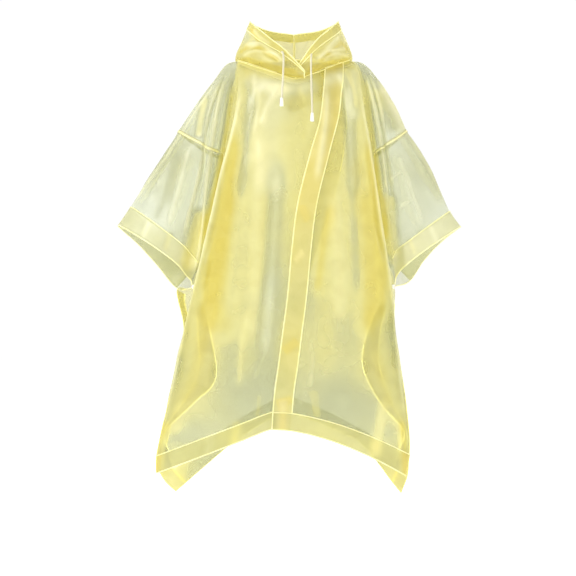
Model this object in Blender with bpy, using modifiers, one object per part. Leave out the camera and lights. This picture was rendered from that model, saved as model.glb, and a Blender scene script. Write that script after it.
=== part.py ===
"""A child's hooded rain poncho of thin frosted film, in the shape it takes when worn.

The front opens down the middle, the wearer's left front over the right one. Each front and the back
hang from the shoulders, fold at a ridge beside the chest and run back to the arm, where a wide
sleeve is welded on. Below the underarm snap the sides are open, and their margins fold inwards.
The hood lies down: its opening stands round the neck and its bag hangs behind.
Metres, +Z up, the wearer faces -Y, and +X is the wearer's left. The origin is in the neck opening.
"""

import bpy
import bmesh
import numpy as np
from mathutils import Vector

GARMENT = "rain_poncho"

# Walls and gaps
WALL = 0.0012  # a sheet of film
BAND_WALL = 0.0010  # a welded band or tape on it
GAP = 0.0005  # between a sheet and what is welded on it
SEAM_GAP = 0.0004  # between two sheets, edge to edge
SHOULDER_GAP = 0.0008  # of each sheet from the shoulder line, as both turn down from it
SLEEVE_GAP = 0.0012  # in the valley where the sleeve meets the body
WELD_DISTANCE = 0.00002  # points closer than this become one

# Bands
PLACKET_WIDTH = 0.040
SIDE_BAND_WIDTH = 0.032
TAPE_WIDTH = 0.008  # over the sleeve weld
TUNNEL_WIDTH = 0.020  # for the drawstring, along the hood's edge
NECK_DROP = 0.0025  # of the bands below the neck edge, to leave room for the hood's seam
LAP = 0.007  # how far the left front lies before the right one
LAP_FADE = 0.030  # past the under edge, the left front comes back to the common section

# The round of a section from its middle to its ridge, and of its turn behind the ridge
DEPTH_POWER = 2.4
NECK_POWER = 1.25
HEM_POWER = {"right": 1.05, "left": 1.65}  # the height's, at the front hem
BACK_POWER = 1.25
FRONT_SHARES = {"right": (0.30, 0.58, 0.82), "left": (0.33, 0.62, 0.84)}  # of the way to the ridge
BACK_SHARES = (0.28, 0.55, 0.80)
TURN_SHARE = 0.2  # how far round the ridge the next point lies
TURN_DEPTH = 0.012

# The hood
HOOD_MIDDLE = 0.009
HOOD_LIFT = 0.0030  # of its seam above the neck edge
WELDED_FROM = 2  # the first row in the hood's tables that is welded to the neck
SEAM_FOLLOW = (1.0, 1.0, 0.5)  # of the neck edge's course, by the seam and the lines next to it

# Fittings
SNAP_RADIUS = 0.005
SNAP_DEPTH = 0.0022
SNAP_CORNER = 0.022  # of each sheet, which lies flat there for the snap
SNAP_CORNER_TURN = {"front": -0.010, "back": 0.003}
BOW_MARGIN = 2.6  # for the film that bows between a snap's middle and its rim
CORD_RADIUS = 0.0020
CORD_STEP = 0.0045
TIP_RADIUS = 0.0042
TIP_LENGTH = 0.0185

SIDES = {"right": -1, "left": 1}

# How many faces there are between each two rows of a table, and across between its columns
FRONT_ROW_STEPS = (1, 1, 1, 2, 2, 2, 2, 1, 1, 2, 2, 2, 1, 1)
FRONT_COLUMN_STEPS = {"right": (1, 1, 2, 1, 1, 1, 1, 2), "left": (2, 1, 1, 1, 1, 1, 2)}
BACK_ROW_STEPS = (1, 1, 1, 2, 2, 2, 2, 1, 1, 2, 2, 1, 1, 1, 1)
BACK_HALF_STEPS = (2, 1, 2, 1, 1, 2)
ARM_ROWS = 5  # of a front's or the back's rows, those that also run out along the arm
ARM_ROW_STEPS = (1, 1, 1, 2, 2, 2, 2, 1)
BODY_ARM_STEPS = ARM_ROW_STEPS[: ARM_ROWS - 1]
ARM_FRONT_STEPS = (1, 1, 1, 2, 2)
ARM_BACK_STEPS = (2, 2, 1, 1)
HOOD_STEPS = (2, 2, 2, 2, 2, 2, 2, 2)
HOOD_PROFILE_STEPS = (1, 1, 2, 2, 1)
SNAP_ROW = 7  # the underarm, in the tables of the front and the back
SLIT_ROW = 8  # where the side's open margins begin

# ---------------------------------------------------------------- the fronts, from neck to hem
# mid_x, mid_y, mid_z: the most forward point; edge_x: the free edge of the left front, on top;
# under_x: the edge of the right front, beneath it.
FRONT_MIDDLE = (
    ("neck", 0.012, -0.100, -0.056, 0.075, 0.084),
    ("shoulder", 0.012, -0.104, -0.068, 0.074, 0.090),
    ("collarbone", 0.012, -0.109, -0.097, 0.071, 0.108),
    ("upper chest", 0.012, -0.114, -0.148, 0.064, 0.120),
    ("arm seam", 0.010, -0.118, -0.220, 0.042, 0.113),
    ("ribs", 0.004, -0.121, -0.325, 0.016, 0.089),
    ("waist", 0.000, -0.124, -0.418, 0.004, 0.059),
    ("underarm", -0.004, -0.126, -0.506, -0.004, 0.031),
    ("slit", -0.008, -0.128, -0.550, -0.009, 0.026),
    ("hip", -0.012, -0.129, -0.592, -0.015, 0.021),
    ("thigh", -0.020, -0.132, -0.662, -0.024, 0.011),
    ("above knee", -0.026, -0.134, -0.708, -0.031, 0.006),
    ("knee", -0.030, -0.135, -0.738, -0.034, 0.003),
    ("hem weld", -0.032, -0.137, -0.762, -0.036, 0.001),
    ("hem", -0.034, -0.139, -0.798, -0.038, -0.001),
)
# Out from X = 0, y and z: of the ridge beside the chest, and of the fold line behind it. That line
# is the valley before the arm, then the weld of the sleeve, and below the underarm the free edge.
FRONT_SIDE = {
    "right": (
        ("neck", 0.113, -0.024, -0.006, 0.114, -0.014, -0.003),
        ("shoulder", 0.113, -0.034, -0.015, 0.117, -0.021, -0.011),
        ("collarbone", 0.111, -0.066, -0.063, 0.122, -0.036, -0.056),
        ("upper chest", 0.116, -0.084, -0.125, 0.131, -0.040, -0.120),
        ("arm seam", 0.137, -0.094, -0.214, 0.144, -0.042, -0.210),
        ("ribs", 0.162, -0.100, -0.314, 0.153, -0.046, -0.313),
        ("waist", 0.183, -0.102, -0.406, 0.174, -0.040, -0.406),
        ("underarm", 0.204, -0.098, -0.497, 0.212, -0.034, -0.499),
        ("slit", 0.214, -0.096, -0.545, 0.190, -0.030, -0.540),
        ("hip", 0.225, -0.093, -0.591, 0.177, -0.045, -0.582),
        ("thigh", 0.245, -0.089, -0.668, 0.162, -0.052, -0.698),
        ("above knee", 0.262, -0.084, -0.743, 0.208, -0.060, -0.750),
        ("knee", 0.278, -0.076, -0.817, 0.271, -0.066, -0.815),
        ("hem weld", 0.287, -0.070, -0.863, 0.263, -0.060, -0.854),
        ("hem", 0.288, -0.064, -0.901, 0.255, -0.052, -0.891),
    ),
    "left": (
        ("neck", 0.129, -0.024, -0.006, 0.130, -0.014, -0.003),
        ("shoulder", 0.141, -0.034, -0.014, 0.146, -0.021, -0.010),
        ("collarbone", 0.152, -0.066, -0.063, 0.163, -0.036, -0.056),
        ("upper chest", 0.160, -0.084, -0.125, 0.174, -0.040, -0.120),
        ("arm seam", 0.174, -0.094, -0.214, 0.182, -0.042, -0.210),
        ("ribs", 0.191, -0.100, -0.319, 0.183, -0.046, -0.315),
        ("waist", 0.205, -0.102, -0.410, 0.196, -0.040, -0.410),
        ("underarm", 0.216, -0.098, -0.497, 0.227, -0.036, -0.497),
        ("slit", 0.220, -0.096, -0.545, 0.195, -0.032, -0.540),
        ("hip", 0.224, -0.093, -0.591, 0.173, -0.045, -0.582),
        ("thigh", 0.237, -0.089, -0.668, 0.158, -0.052, -0.670),
        ("above knee", 0.248, -0.084, -0.743, 0.197, -0.060, -0.752),
        ("knee", 0.257, -0.076, -0.817, 0.247, -0.066, -0.813),
        ("hem weld", 0.257, -0.070, -0.860, 0.238, -0.060, -0.847),
        ("hem", 0.250, -0.064, -0.906, 0.228, -0.052, -0.886),
    ),
}

# ---------------------------------------------------------------- the back, from nape to hem
BACK_MIDDLE = (
    ("neck", 0.009, 0.078, 0.012),
    ("shoulder", 0.009, 0.084, 0.000),
    ("collarbone", 0.008, 0.106, -0.062),
    ("upper chest", 0.006, 0.120, -0.125),
    ("arm seam", 0.004, 0.128, -0.214),
    ("ribs", 0.002, 0.133, -0.316),
    ("waist", 0.000, 0.137, -0.408),
    ("underarm", -0.002, 0.140, -0.498),
    ("slit", -0.003, 0.142, -0.545),
    ("hip", -0.004, 0.144, -0.588),
    ("thigh", -0.006, 0.147, -0.652),
    ("above knee", -0.008, 0.149, -0.696),
    ("knee", -0.009, 0.150, -0.722),
    ("low", -0.010, 0.151, -0.738),
    ("hem weld", -0.010, 0.151, -0.752),
    ("hem", -0.010, 0.152, -0.790),
)
# As FRONT_SIDE. Below the underarm the second point is the back's free side edge.
BACK_SIDE = {
    "right": (
        ("neck", 0.113, 0.024, -0.004, 0.114, 0.014, -0.003),
        ("shoulder", 0.113, 0.034, -0.013, 0.117, 0.021, -0.011),
        ("collarbone", 0.113, 0.070, -0.062, 0.123, 0.038, -0.056),
        ("upper chest", 0.118, 0.088, -0.124, 0.132, 0.042, -0.119),
        ("arm seam", 0.137, 0.098, -0.213, 0.146, 0.046, -0.209),
        ("ribs", 0.158, 0.100, -0.315, 0.154, 0.050, -0.313),
        ("waist", 0.176, 0.098, -0.408, 0.175, 0.042, -0.406),
        ("underarm", 0.194, 0.090, -0.500, 0.213, -0.027, -0.500),
        ("slit", 0.202, 0.088, -0.540, 0.250, 0.012, -0.505),
        ("hip", 0.208, 0.086, -0.594, 0.236, 0.024, -0.588),
        ("thigh", 0.222, 0.084, -0.672, 0.252, 0.030, -0.680),
        ("above knee", 0.236, 0.082, -0.748, 0.272, 0.030, -0.762),
        ("knee", 0.238, 0.082, -0.802, 0.290, 0.028, -0.838),
        ("low", 0.212, 0.084, -0.826, 0.297, 0.023, -0.890),
        ("hem weld", 0.170, 0.088, -0.836, 0.281, 0.018, -0.925),
        ("hem", 0.147, 0.088, -0.867, 0.253, 0.012, -0.952),
    ),
    "left": (
        ("neck", 0.129, 0.024, -0.004, 0.130, 0.014, -0.003),
        ("shoulder", 0.140, 0.034, -0.012, 0.146, 0.021, -0.010),
        ("collarbone", 0.150, 0.070, -0.062, 0.162, 0.038, -0.056),
        ("upper chest", 0.158, 0.088, -0.124, 0.173, 0.042, -0.119),
        ("arm seam", 0.172, 0.098, -0.213, 0.182, 0.046, -0.209),
        ("ribs", 0.186, 0.100, -0.317, 0.184, 0.050, -0.315),
        ("waist", 0.196, 0.098, -0.410, 0.198, 0.042, -0.410),
        ("underarm", 0.204, 0.090, -0.500, 0.228, -0.029, -0.498),
        ("slit", 0.206, 0.088, -0.545, 0.232, 0.016, -0.538),
        ("hip", 0.208, 0.086, -0.592, 0.230, 0.024, -0.590),
        ("thigh", 0.214, 0.084, -0.672, 0.246, 0.030, -0.682),
        ("above knee", 0.222, 0.082, -0.748, 0.259, 0.030, -0.764),
        ("knee", 0.224, 0.082, -0.802, 0.266, 0.028, -0.838),
        ("low", 0.206, 0.084, -0.828, 0.264, 0.023, -0.884),
        ("hem weld", 0.182, 0.088, -0.834, 0.261, 0.018, -0.917),
        ("hem", 0.158, 0.088, -0.850, 0.246, 0.012, -0.956),
    ),
}

# ---------------------------------------------------------------- the arms, from neck to cuff
# Out, y and z of two ridges and the dips beside them on the arm's front, and of the shoulder fold
# on top. The first rows belong to the front and back, and from the arm seam on to the sleeve.
ARM_FRONT = {
    "right": (
        ("neck", 0.1142, -0.011, -0.0025, 0.1143, -0.008, -0.002, 0.1144, -0.006, -0.0015,
         0.1146, -0.003, -0.001, 0.115, 0.0, -0.001),
        ("shoulder", 0.121, -0.020, -0.012, 0.126, -0.014, -0.010, 0.130, -0.012, -0.009,
         0.133, -0.006, -0.007, 0.136, 0.0, -0.006),
        ("collarbone", 0.142, -0.050, -0.060, 0.149, -0.041, -0.059, 0.154, -0.044, -0.058,
         0.160, -0.032, -0.054, 0.169, 0.0, -0.046),
        ("upper chest", 0.157, -0.064, -0.118, 0.167, -0.052, -0.116, 0.174, -0.055, -0.114,
         0.186, -0.045, -0.108, 0.207, 0.0, -0.096),
        ("arm seam", 0.175, -0.068, -0.200, 0.185, -0.054, -0.194, 0.192, -0.058, -0.189,
         0.215, -0.046, -0.176, 0.246, 0.0, -0.156),
        ("upper sleeve", 0.179, -0.068, -0.278, 0.189, -0.056, -0.271, 0.199, -0.062, -0.267,
         0.235, -0.050, -0.243, 0.285, 0.0, -0.217),
        ("mid sleeve", 0.188, -0.064, -0.379, 0.201, -0.056, -0.370, 0.216, -0.064, -0.359,
         0.263, -0.054, -0.320, 0.323, 0.0, -0.277),
        ("cuff weld", 0.200, -0.052, -0.445, 0.214, -0.054, -0.429, 0.229, -0.064, -0.411,
         0.286, -0.056, -0.366, 0.352, 0.0, -0.323),
        ("cuff", 0.215, -0.034, -0.486, 0.226, -0.046, -0.474, 0.244, -0.060, -0.450,
         0.306, -0.056, -0.404, 0.379, 0.0, -0.364),
    ),
    "left": (
        ("neck", 0.1302, -0.011, -0.0025, 0.1303, -0.008, -0.002, 0.1304, -0.006, -0.0015,
         0.1306, -0.003, -0.001, 0.131, 0.0, -0.001),
        ("shoulder", 0.149, -0.020, -0.011, 0.152, -0.014, -0.009, 0.155, -0.012, -0.008,
         0.158, -0.006, -0.007, 0.160, 0.0, -0.006),
        ("collarbone", 0.171, -0.050, -0.056, 0.177, -0.041, -0.054, 0.182, -0.044, -0.053,
         0.187, -0.032, -0.050, 0.196, 0.0, -0.043),
        ("upper chest", 0.183, -0.064, -0.118, 0.190, -0.052, -0.115, 0.195, -0.055, -0.113,
         0.208, -0.045, -0.106, 0.229, 0.0, -0.096),
        ("arm seam", 0.197, -0.068, -0.200, 0.204, -0.054, -0.195, 0.210, -0.058, -0.190,
         0.230, -0.046, -0.177, 0.257, 0.0, -0.155),
        ("upper sleeve", 0.206, -0.068, -0.278, 0.215, -0.056, -0.273, 0.225, -0.062, -0.267,
         0.257, -0.050, -0.243, 0.297, 0.0, -0.217),
        ("mid sleeve", 0.215, -0.064, -0.379, 0.224, -0.056, -0.372, 0.238, -0.064, -0.362,
         0.278, -0.054, -0.324, 0.326, 0.0, -0.277),
        ("cuff weld", 0.222, -0.052, -0.437, 0.233, -0.054, -0.418, 0.250, -0.064, -0.405,
         0.294, -0.056, -0.372, 0.352, 0.0, -0.333),
        ("cuff", 0.230, -0.036, -0.481, 0.237, -0.046, -0.468, 0.253, -0.060, -0.450,
         0.303, -0.056, -0.412, 0.376, 0.0, -0.367),
    ),
}
# Out, y and z of three lines on the arm's back, from the top of the arm down.
ARM_BACK = {
    "right": (
        ("neck", 0.1146, 0.003, -0.001, 0.1144, 0.007, -0.002, 0.1142, 0.011, -0.0025),
        ("shoulder", 0.132, 0.007, -0.007, 0.127, 0.013, -0.009, 0.122, 0.018, -0.011),
        ("collarbone", 0.160, 0.032, -0.054, 0.150, 0.045, -0.059, 0.138, 0.050, -0.061),
        ("upper chest", 0.186, 0.045, -0.108, 0.170, 0.058, -0.117, 0.152, 0.060, -0.121),
        ("arm seam", 0.215, 0.048, -0.177, 0.190, 0.062, -0.194, 0.166, 0.060, -0.205),
        ("upper sleeve", 0.240, 0.052, -0.240, 0.199, 0.064, -0.268, 0.172, 0.058, -0.285),
        ("mid sleeve", 0.278, 0.056, -0.320, 0.230, 0.066, -0.363, 0.194, 0.054, -0.388),
        ("cuff weld", 0.314, 0.057, -0.368, 0.267, 0.062, -0.419, 0.222, 0.040, -0.462),
        ("cuff", 0.341, 0.054, -0.403, 0.302, 0.058, -0.446, 0.252, 0.036, -0.502),
    ),
    "left": (
        ("neck", 0.1306, 0.003, -0.001, 0.1304, 0.007, -0.002, 0.1302, 0.011, -0.0025),
        ("shoulder", 0.157, 0.007, -0.007, 0.154, 0.013, -0.009, 0.150, 0.018, -0.010),
        ("collarbone", 0.187, 0.032, -0.050, 0.179, 0.045, -0.055, 0.170, 0.050, -0.058),
        ("upper chest", 0.208, 0.045, -0.106, 0.194, 0.058, -0.115, 0.182, 0.060, -0.120),
        ("arm seam", 0.230, 0.048, -0.177, 0.211, 0.062, -0.192, 0.194, 0.060, -0.203),
        ("upper sleeve", 0.262, 0.052, -0.240, 0.225, 0.064, -0.268, 0.202, 0.058, -0.283),
        ("mid sleeve", 0.292, 0.056, -0.320, 0.250, 0.066, -0.358, 0.216, 0.054, -0.386),
        ("cuff weld", 0.317, 0.057, -0.368, 0.276, 0.062, -0.412, 0.238, 0.040, -0.450),
        ("cuff", 0.343, 0.054, -0.395, 0.303, 0.058, -0.437, 0.268, 0.036, -0.485),
    ),
}

# ---------------------------------------------------------------- the hood, lying down
# Out from HOOD_MIDDLE, y and z of five lines: the neck seam, the low line under the overhang, the
# overhang, the wall above it and the opening's edge. Front to back; the ends differ by the lap.
HOOD_FRONT = {
    "right": (
        ("end", -0.022, -0.117, -0.056, -0.0215, -0.121, -0.0555, -0.021, -0.125, -0.052,
         -0.0215, -0.128, -0.0475, -0.022, -0.129, -0.043),
        ("crossing", 0.005, -0.104, -0.053, 0.006, -0.113, -0.051, 0.009, -0.124, -0.040,
         0.007, -0.126, -0.027, 0.006, -0.121, -0.012),
        ("collar front", 0.036, -0.092, -0.044, 0.038, -0.104, -0.041, 0.044, -0.114, -0.026,
         0.036, -0.115, -0.008, 0.026, -0.105, 0.010),
    ),
    "left": (
        ("end", 0.003, -0.098, -0.053, 0.003, -0.103, -0.0535, 0.003, -0.107, -0.049,
         0.004, -0.108, -0.041, 0.006, -0.106, -0.033),
        ("crossing", 0.014, -0.097, -0.051, 0.018, -0.103, -0.050, 0.026, -0.110, -0.040,
         0.022, -0.111, -0.028, 0.018, -0.106, -0.015),
        ("collar front", 0.040, -0.092, -0.043, 0.044, -0.102, -0.040, 0.055, -0.112, -0.025,
         0.045, -0.113, -0.008, 0.035, -0.102, 0.010),
    ),
}
HOOD_AROUND = (
    ("collar side", 0.074, -0.076, -0.028, 0.077, -0.086, -0.026, 0.084, -0.094, -0.011,
     0.070, -0.095, 0.012, 0.054, -0.079, 0.036),
    ("before peak", 0.106, -0.045, -0.010, 0.110, -0.052, -0.008, 0.115, -0.058, 0.004,
     0.100, -0.064, 0.028, 0.080, -0.050, 0.062),
    ("peak", 0.121, 0.000, 0.001, 0.124, -0.004, 0.001, 0.127, -0.008, 0.012,
     0.114, -0.012, 0.044, 0.096, -0.010, 0.084),
    ("behind peak", 0.106, 0.042, 0.005, 0.119, 0.070, -0.004, 0.125, 0.076, 0.008,
     0.112, 0.070, 0.046, 0.086, 0.040, 0.084),
    ("bag side", 0.064, 0.070, 0.011, 0.086, 0.120, -0.040, 0.092, 0.142, -0.044,
     0.086, 0.140, 0.015, 0.056, 0.084, 0.080),
    ("bag middle", 0.0006, 0.080, 0.0145, 0.0006, 0.144, -0.072, 0.0006, 0.178, -0.092,
     0.0006, 0.184, -0.010, 0.0006, 0.108, 0.076),
)

# ---------------------------------------------------------------- the drawstring's two free ends
CORD_ROUTES = {
    "right": (
        (-0.0177, -0.1162, -0.0018),
        (-0.0165, -0.1205, -0.0018),
        (-0.0148, -0.1245, -0.0060),
        (-0.0138, -0.1280, -0.0140),
        (-0.0138, -0.1295, -0.0250),
        (-0.0143, -0.1300, -0.0400),
        (-0.0152, -0.1298, -0.0600),
        (-0.0165, -0.1292, -0.0800),
        (-0.0178, -0.1285, -0.0990),
    ),
    "left": (
        (0.0455, -0.1135, -0.0060),
        (0.0452, -0.1190, -0.0060),
        (0.0447, -0.1235, -0.0110),
        (0.0443, -0.1270, -0.0200),
        (0.0442, -0.1288, -0.0350),
        (0.0446, -0.1295, -0.0550),
        (0.0452, -0.1292, -0.0800),
        (0.0460, -0.1288, -0.1050),
        (0.0466, -0.1285, -0.1310),
    ),
}


# ================================================================ tools
def start_clean():
    for thing in list(bpy.data.objects):
        bpy.data.objects.remove(thing, do_unlink=True)
    garment = bpy.data.collections.new(GARMENT)
    bpy.context.scene.collection.children.link(garment)
    return garment


def finish_material(name, colour, roughness):
    material = bpy.data.materials.new(name)
    material.use_nodes = True
    shader = material.node_tree.nodes["Principled BSDF"]
    shader.inputs["Base Color"].default_value = (*colour, 1.0)
    shader.inputs["Roughness"].default_value = roughness
    shader.inputs["Metallic"].default_value = 0.0
    return material


def smooth(stations, steps):
    """A smooth path through the stations, each a point or a row of points, cut into steps[i] parts
    between station i and the next."""
    p = np.array(stations, dtype=float)
    apart = np.linalg.norm(np.diff(p, axis=0), axis=-1)
    spans = np.sqrt(np.maximum(apart.reshape(len(p) - 1, -1).mean(axis=1), 1e-5))
    wide = spans.reshape((-1,) + (1,) * (p.ndim - 1))
    slopes = np.diff(p, axis=0) / wide
    bends = np.empty_like(p)
    bends[0] = slopes[0]
    bends[-1] = slopes[-1]
    bends[1:-1] = (slopes[:-1] * wide[1:] + slopes[1:] * wide[:-1]) / (wide[:-1] + wide[1:])
    path = [p[0]]
    for i, count in enumerate(steps):
        for k in range(1, count + 1):
            t = k / count
            a = 2 * t**3 - 3 * t**2 + 1
            b = (t**3 - 2 * t**2 + t) * spans[i]
            c = 3 * t**2 - 2 * t**3
            d = (t**3 - t**2) * spans[i]
            path.append(a * p[i] + b * bends[i] + c * p[i + 1] + d * bends[i + 1])
    return np.array(path)


def evenly(line, count):
    """The line's points moved along it to equal steps."""
    lengths = np.concatenate([[0], np.cumsum(np.linalg.norm(np.diff(line, axis=0), axis=1))])
    marks = np.linspace(0, lengths[-1], count)
    return np.stack([np.interp(marks, lengths, line[:, axis]) for axis in range(3)], axis=1)


def points_of(row):
    """The points of a table's row, after its name."""
    return np.array(row[1:], dtype=float).reshape(-1, 3)


def unit(vectors):
    return vectors / np.maximum(np.linalg.norm(vectors, axis=-1, keepdims=True), 1e-12)


def outwards(grid, turn):
    """A unit normal at each point of a grid, the mean of the faces round it."""
    across = np.diff(grid, axis=1)
    down = np.diff(grid, axis=0)
    faces = unit(np.cross(down[:, :-1] + down[:, 1:], across[:-1] + across[1:]))
    total = np.zeros_like(grid)
    total[:-1, :-1] += faces
    total[:-1, 1:] += faces
    total[1:, :-1] += faces
    total[1:, 1:] += faces
    return unit(-total if turn else total)


def shifted(grid, border, step):
    """The grid with one border line drawn in along the sheet."""
    grid = grid.copy()
    lines = grid if border in ("top", "bottom") else np.swapaxes(grid, 0, 1)
    edge, inner = (0, 1) if border in ("top", "first") else (-1, -2)
    away = lines[inner] - lines[edge]
    lengths = np.maximum(np.linalg.norm(away, axis=-1, keepdims=True), 1e-9)
    lines[edge] += away / lengths * np.minimum(step, lengths * 0.5)
    return grid


def add_sheet(garment, name, pieces, material, thickness=WALL, outside=False):
    """One closed wall of film. Each piece is a grid of points, the grid that its cells' diagonals
    are chosen on, and whether its faces turn. The points are the wall's outer face, or its inner
    one with outside."""
    bm = bmesh.new()
    for grid, base, turn in pieces:
        rows, columns = grid.shape[:2]
        corners = [[bm.verts.new(point) for point in line] for line in grid]
        for r in range(rows - 1):
            for c in range(columns - 1):
                ring = [corners[r][c], corners[r + 1][c], corners[r + 1][c + 1], corners[r][c + 1]]
                falling = np.linalg.norm(base[r, c] - base[r + 1, c + 1])
                rising = np.linalg.norm(base[r + 1, c] - base[r, c + 1])
                start = 0 if falling <= rising else 1
                for cut in ((0, 1, 2), (0, 2, 3)):
                    face = [ring[(start + k) % 4] for k in cut]
                    bm.faces.new(face[::-1] if turn else face)
    bmesh.ops.remove_doubles(bm, verts=bm.verts, dist=WELD_DISTANCE)
    mesh = bpy.data.meshes.new(name)
    bm.to_mesh(mesh)
    bm.free()
    mesh.shade_smooth()
    mesh.materials.append(material)
    sheet = bpy.data.objects.new(name, mesh)
    garment.objects.link(sheet)
    wall = sheet.modifiers.new("wall", "SOLIDIFY")
    wall.thickness = thickness
    wall.offset = 1.0 if outside else -1.0
    wall.use_even_offset = False
    return sheet


def add_band(garment, name, panel, rows, columns, turn, material, short=None):
    """A welded band on a stretch of a panel's rows and columns: the panel's own points moved out,
    with a wall of its own. It stops short at the borders named, where another piece begins."""
    base = panel[rows, columns]
    lifted = base + outwards(panel, turn)[rows, columns] * GAP
    for border, step in (short or {}).items():
        lifted = shifted(lifted, border, step)
    return add_sheet(garment, name, [(lifted, base, turn)], material, BAND_WALL, outside=True)


# ================================================================ the body
def section_point(x, middle, sides, height_powers):
    """The point at x of a section that is furthest out at its middle and falls to its two ridges."""
    mid_x, mid_y, mid_z = middle
    side = "left" if x > mid_x else "right"
    ridge_x = SIDES[side] * sides[side][0]
    share = abs((x - mid_x) / (ridge_x - mid_x))
    y = mid_y + (sides[side][1] - mid_y) * share**DEPTH_POWER
    z = mid_z + (sides[side][2] - mid_z) * share ** height_powers[side]
    return np.array((x, y, z))


def behind_ridge(k, which, ridge, fold):
    """Where row k of the sheet has turned round its ridge, on its way to the fold line. At the
    underarm it is where the corner held by the snap begins."""
    if k == SNAP_ROW:
        return fold + (-np.sign(fold[0]) * SNAP_CORNER, SNAP_CORNER_TURN[which], 0.0)
    point = ridge + (fold - ridge) * TURN_SHARE
    turned = min(TURN_DEPTH, 0.4 * abs(fold[1] - ridge[1]))
    point[1] = ridge[1] + np.sign(fold[1] - ridge[1]) * turned
    return point


def side_points(row, side):
    """The ridge and the fold line of a side table's row, with x instead of the distance out."""
    return points_of(row) * (SIDES[side], 1, 1)


def front_controls(side):
    """A front's rows, from its free edge to its fold line."""
    rows = []
    for k, middle_row in enumerate(FRONT_MIDDLE):
        _, mid_x, mid_y, mid_z, edge_x, under_x = middle_row
        ridges = {s: FRONT_SIDE[s][k][1:4] for s in SIDES}
        ridge, fold = side_points(FRONT_SIDE[side][k], side)
        if side == "right":
            places = [under_x, (under_x + mid_x) / 2, mid_x]
        else:
            places = [edge_x, edge_x + PLACKET_WIDTH]
        begin = places[-1]
        places += [begin + (ridge[0] - begin) * share for share in FRONT_SHARES[side]]
        down = k / (len(FRONT_MIDDLE) - 1)
        powers = {s: NECK_POWER + (HEM_POWER[s] - NECK_POWER) * down for s in SIDES}
        points = [section_point(x, (mid_x, mid_y, mid_z), ridges, powers) for x in places]
        if side == "left":
            for point in points:
                past = (under_x + LAP_FADE - point[0]) / LAP_FADE
                point[1] -= LAP * min(max(past, 0.0), 1.0)
        rows.append(points + [ridge, behind_ridge(k, "front", ridge, fold), fold])
    return rows


def back_controls():
    """The back's rows, from the wearer's right fold line through the middle to the left one."""
    rows = []
    for k, middle_row in enumerate(BACK_MIDDLE):
        mid = np.array(middle_row[1:4])
        ridges = {s: BACK_SIDE[s][k][1:4] for s in SIDES}
        powers = dict.fromkeys(SIDES, BACK_POWER)
        halves = {}
        for side in SIDES:
            ridge, fold = side_points(BACK_SIDE[side][k], side)
            reach = ridge[0] - mid[0]
            places = [mid[0] + reach * share for share in BACK_SHARES]
            points = [section_point(x, mid, ridges, powers) for x in places]
            if k <= SNAP_ROW:
                turned_point = behind_ridge(k, "back", ridge, fold)
            else:
                turned_point = fold + unit(ridge - fold) * SIDE_BAND_WIDTH
            halves[side] = points + [ridge, turned_point, fold]
        rows.append(halves["right"][::-1] + [mid] + halves["left"])
    return rows


def panel_grid(controls, column_steps, row_steps):
    """A sheet's points: each row smoothed across first, then the rows down."""
    rows = np.array([smooth(row, column_steps) for row in controls])
    return smooth(rows, row_steps)


def arm_grid(side, front_grid, back_grid):
    """The whole arm from neck to cuff, from the front's fold line over the top to the back's. Its
    rows down to the arm seam belong to the body, whose fold lines it takes up there."""
    body_rows = sum(BODY_ARM_STEPS)
    rows = []
    for k, (front_row, back_row) in enumerate(zip(ARM_FRONT[side], ARM_BACK[side])):
        outer = np.vstack([points_of(front_row), points_of(back_row)]) * (SIDES[side], 1, 1)
        rows.append(outer)
    inner = []
    for grid, row_steps in ((front_grid, FRONT_ROW_STEPS), (back_grid, BACK_ROW_STEPS)):
        start = sum(row_steps[: ARM_ROWS - 1])
        end = sum(row_steps[: ARM_ROWS + 2])
        line = grid[start : end + 1, -1]
        inner.append(evenly(line, sum(ARM_ROW_STEPS) - body_rows + 1))
    lines = smooth(np.array(rows), ARM_ROW_STEPS)
    result = []
    for r, line in enumerate(lines):
        if r <= body_rows:
            first, last = front_grid[r, -1], back_grid[r, -1]
        else:
            first, last = inner[0][r - body_rows], inner[1][r - body_rows]
        result.append(smooth(np.vstack([first, line, last]), ARM_FRONT_STEPS + ARM_BACK_STEPS))
    return np.array(result)


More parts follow.
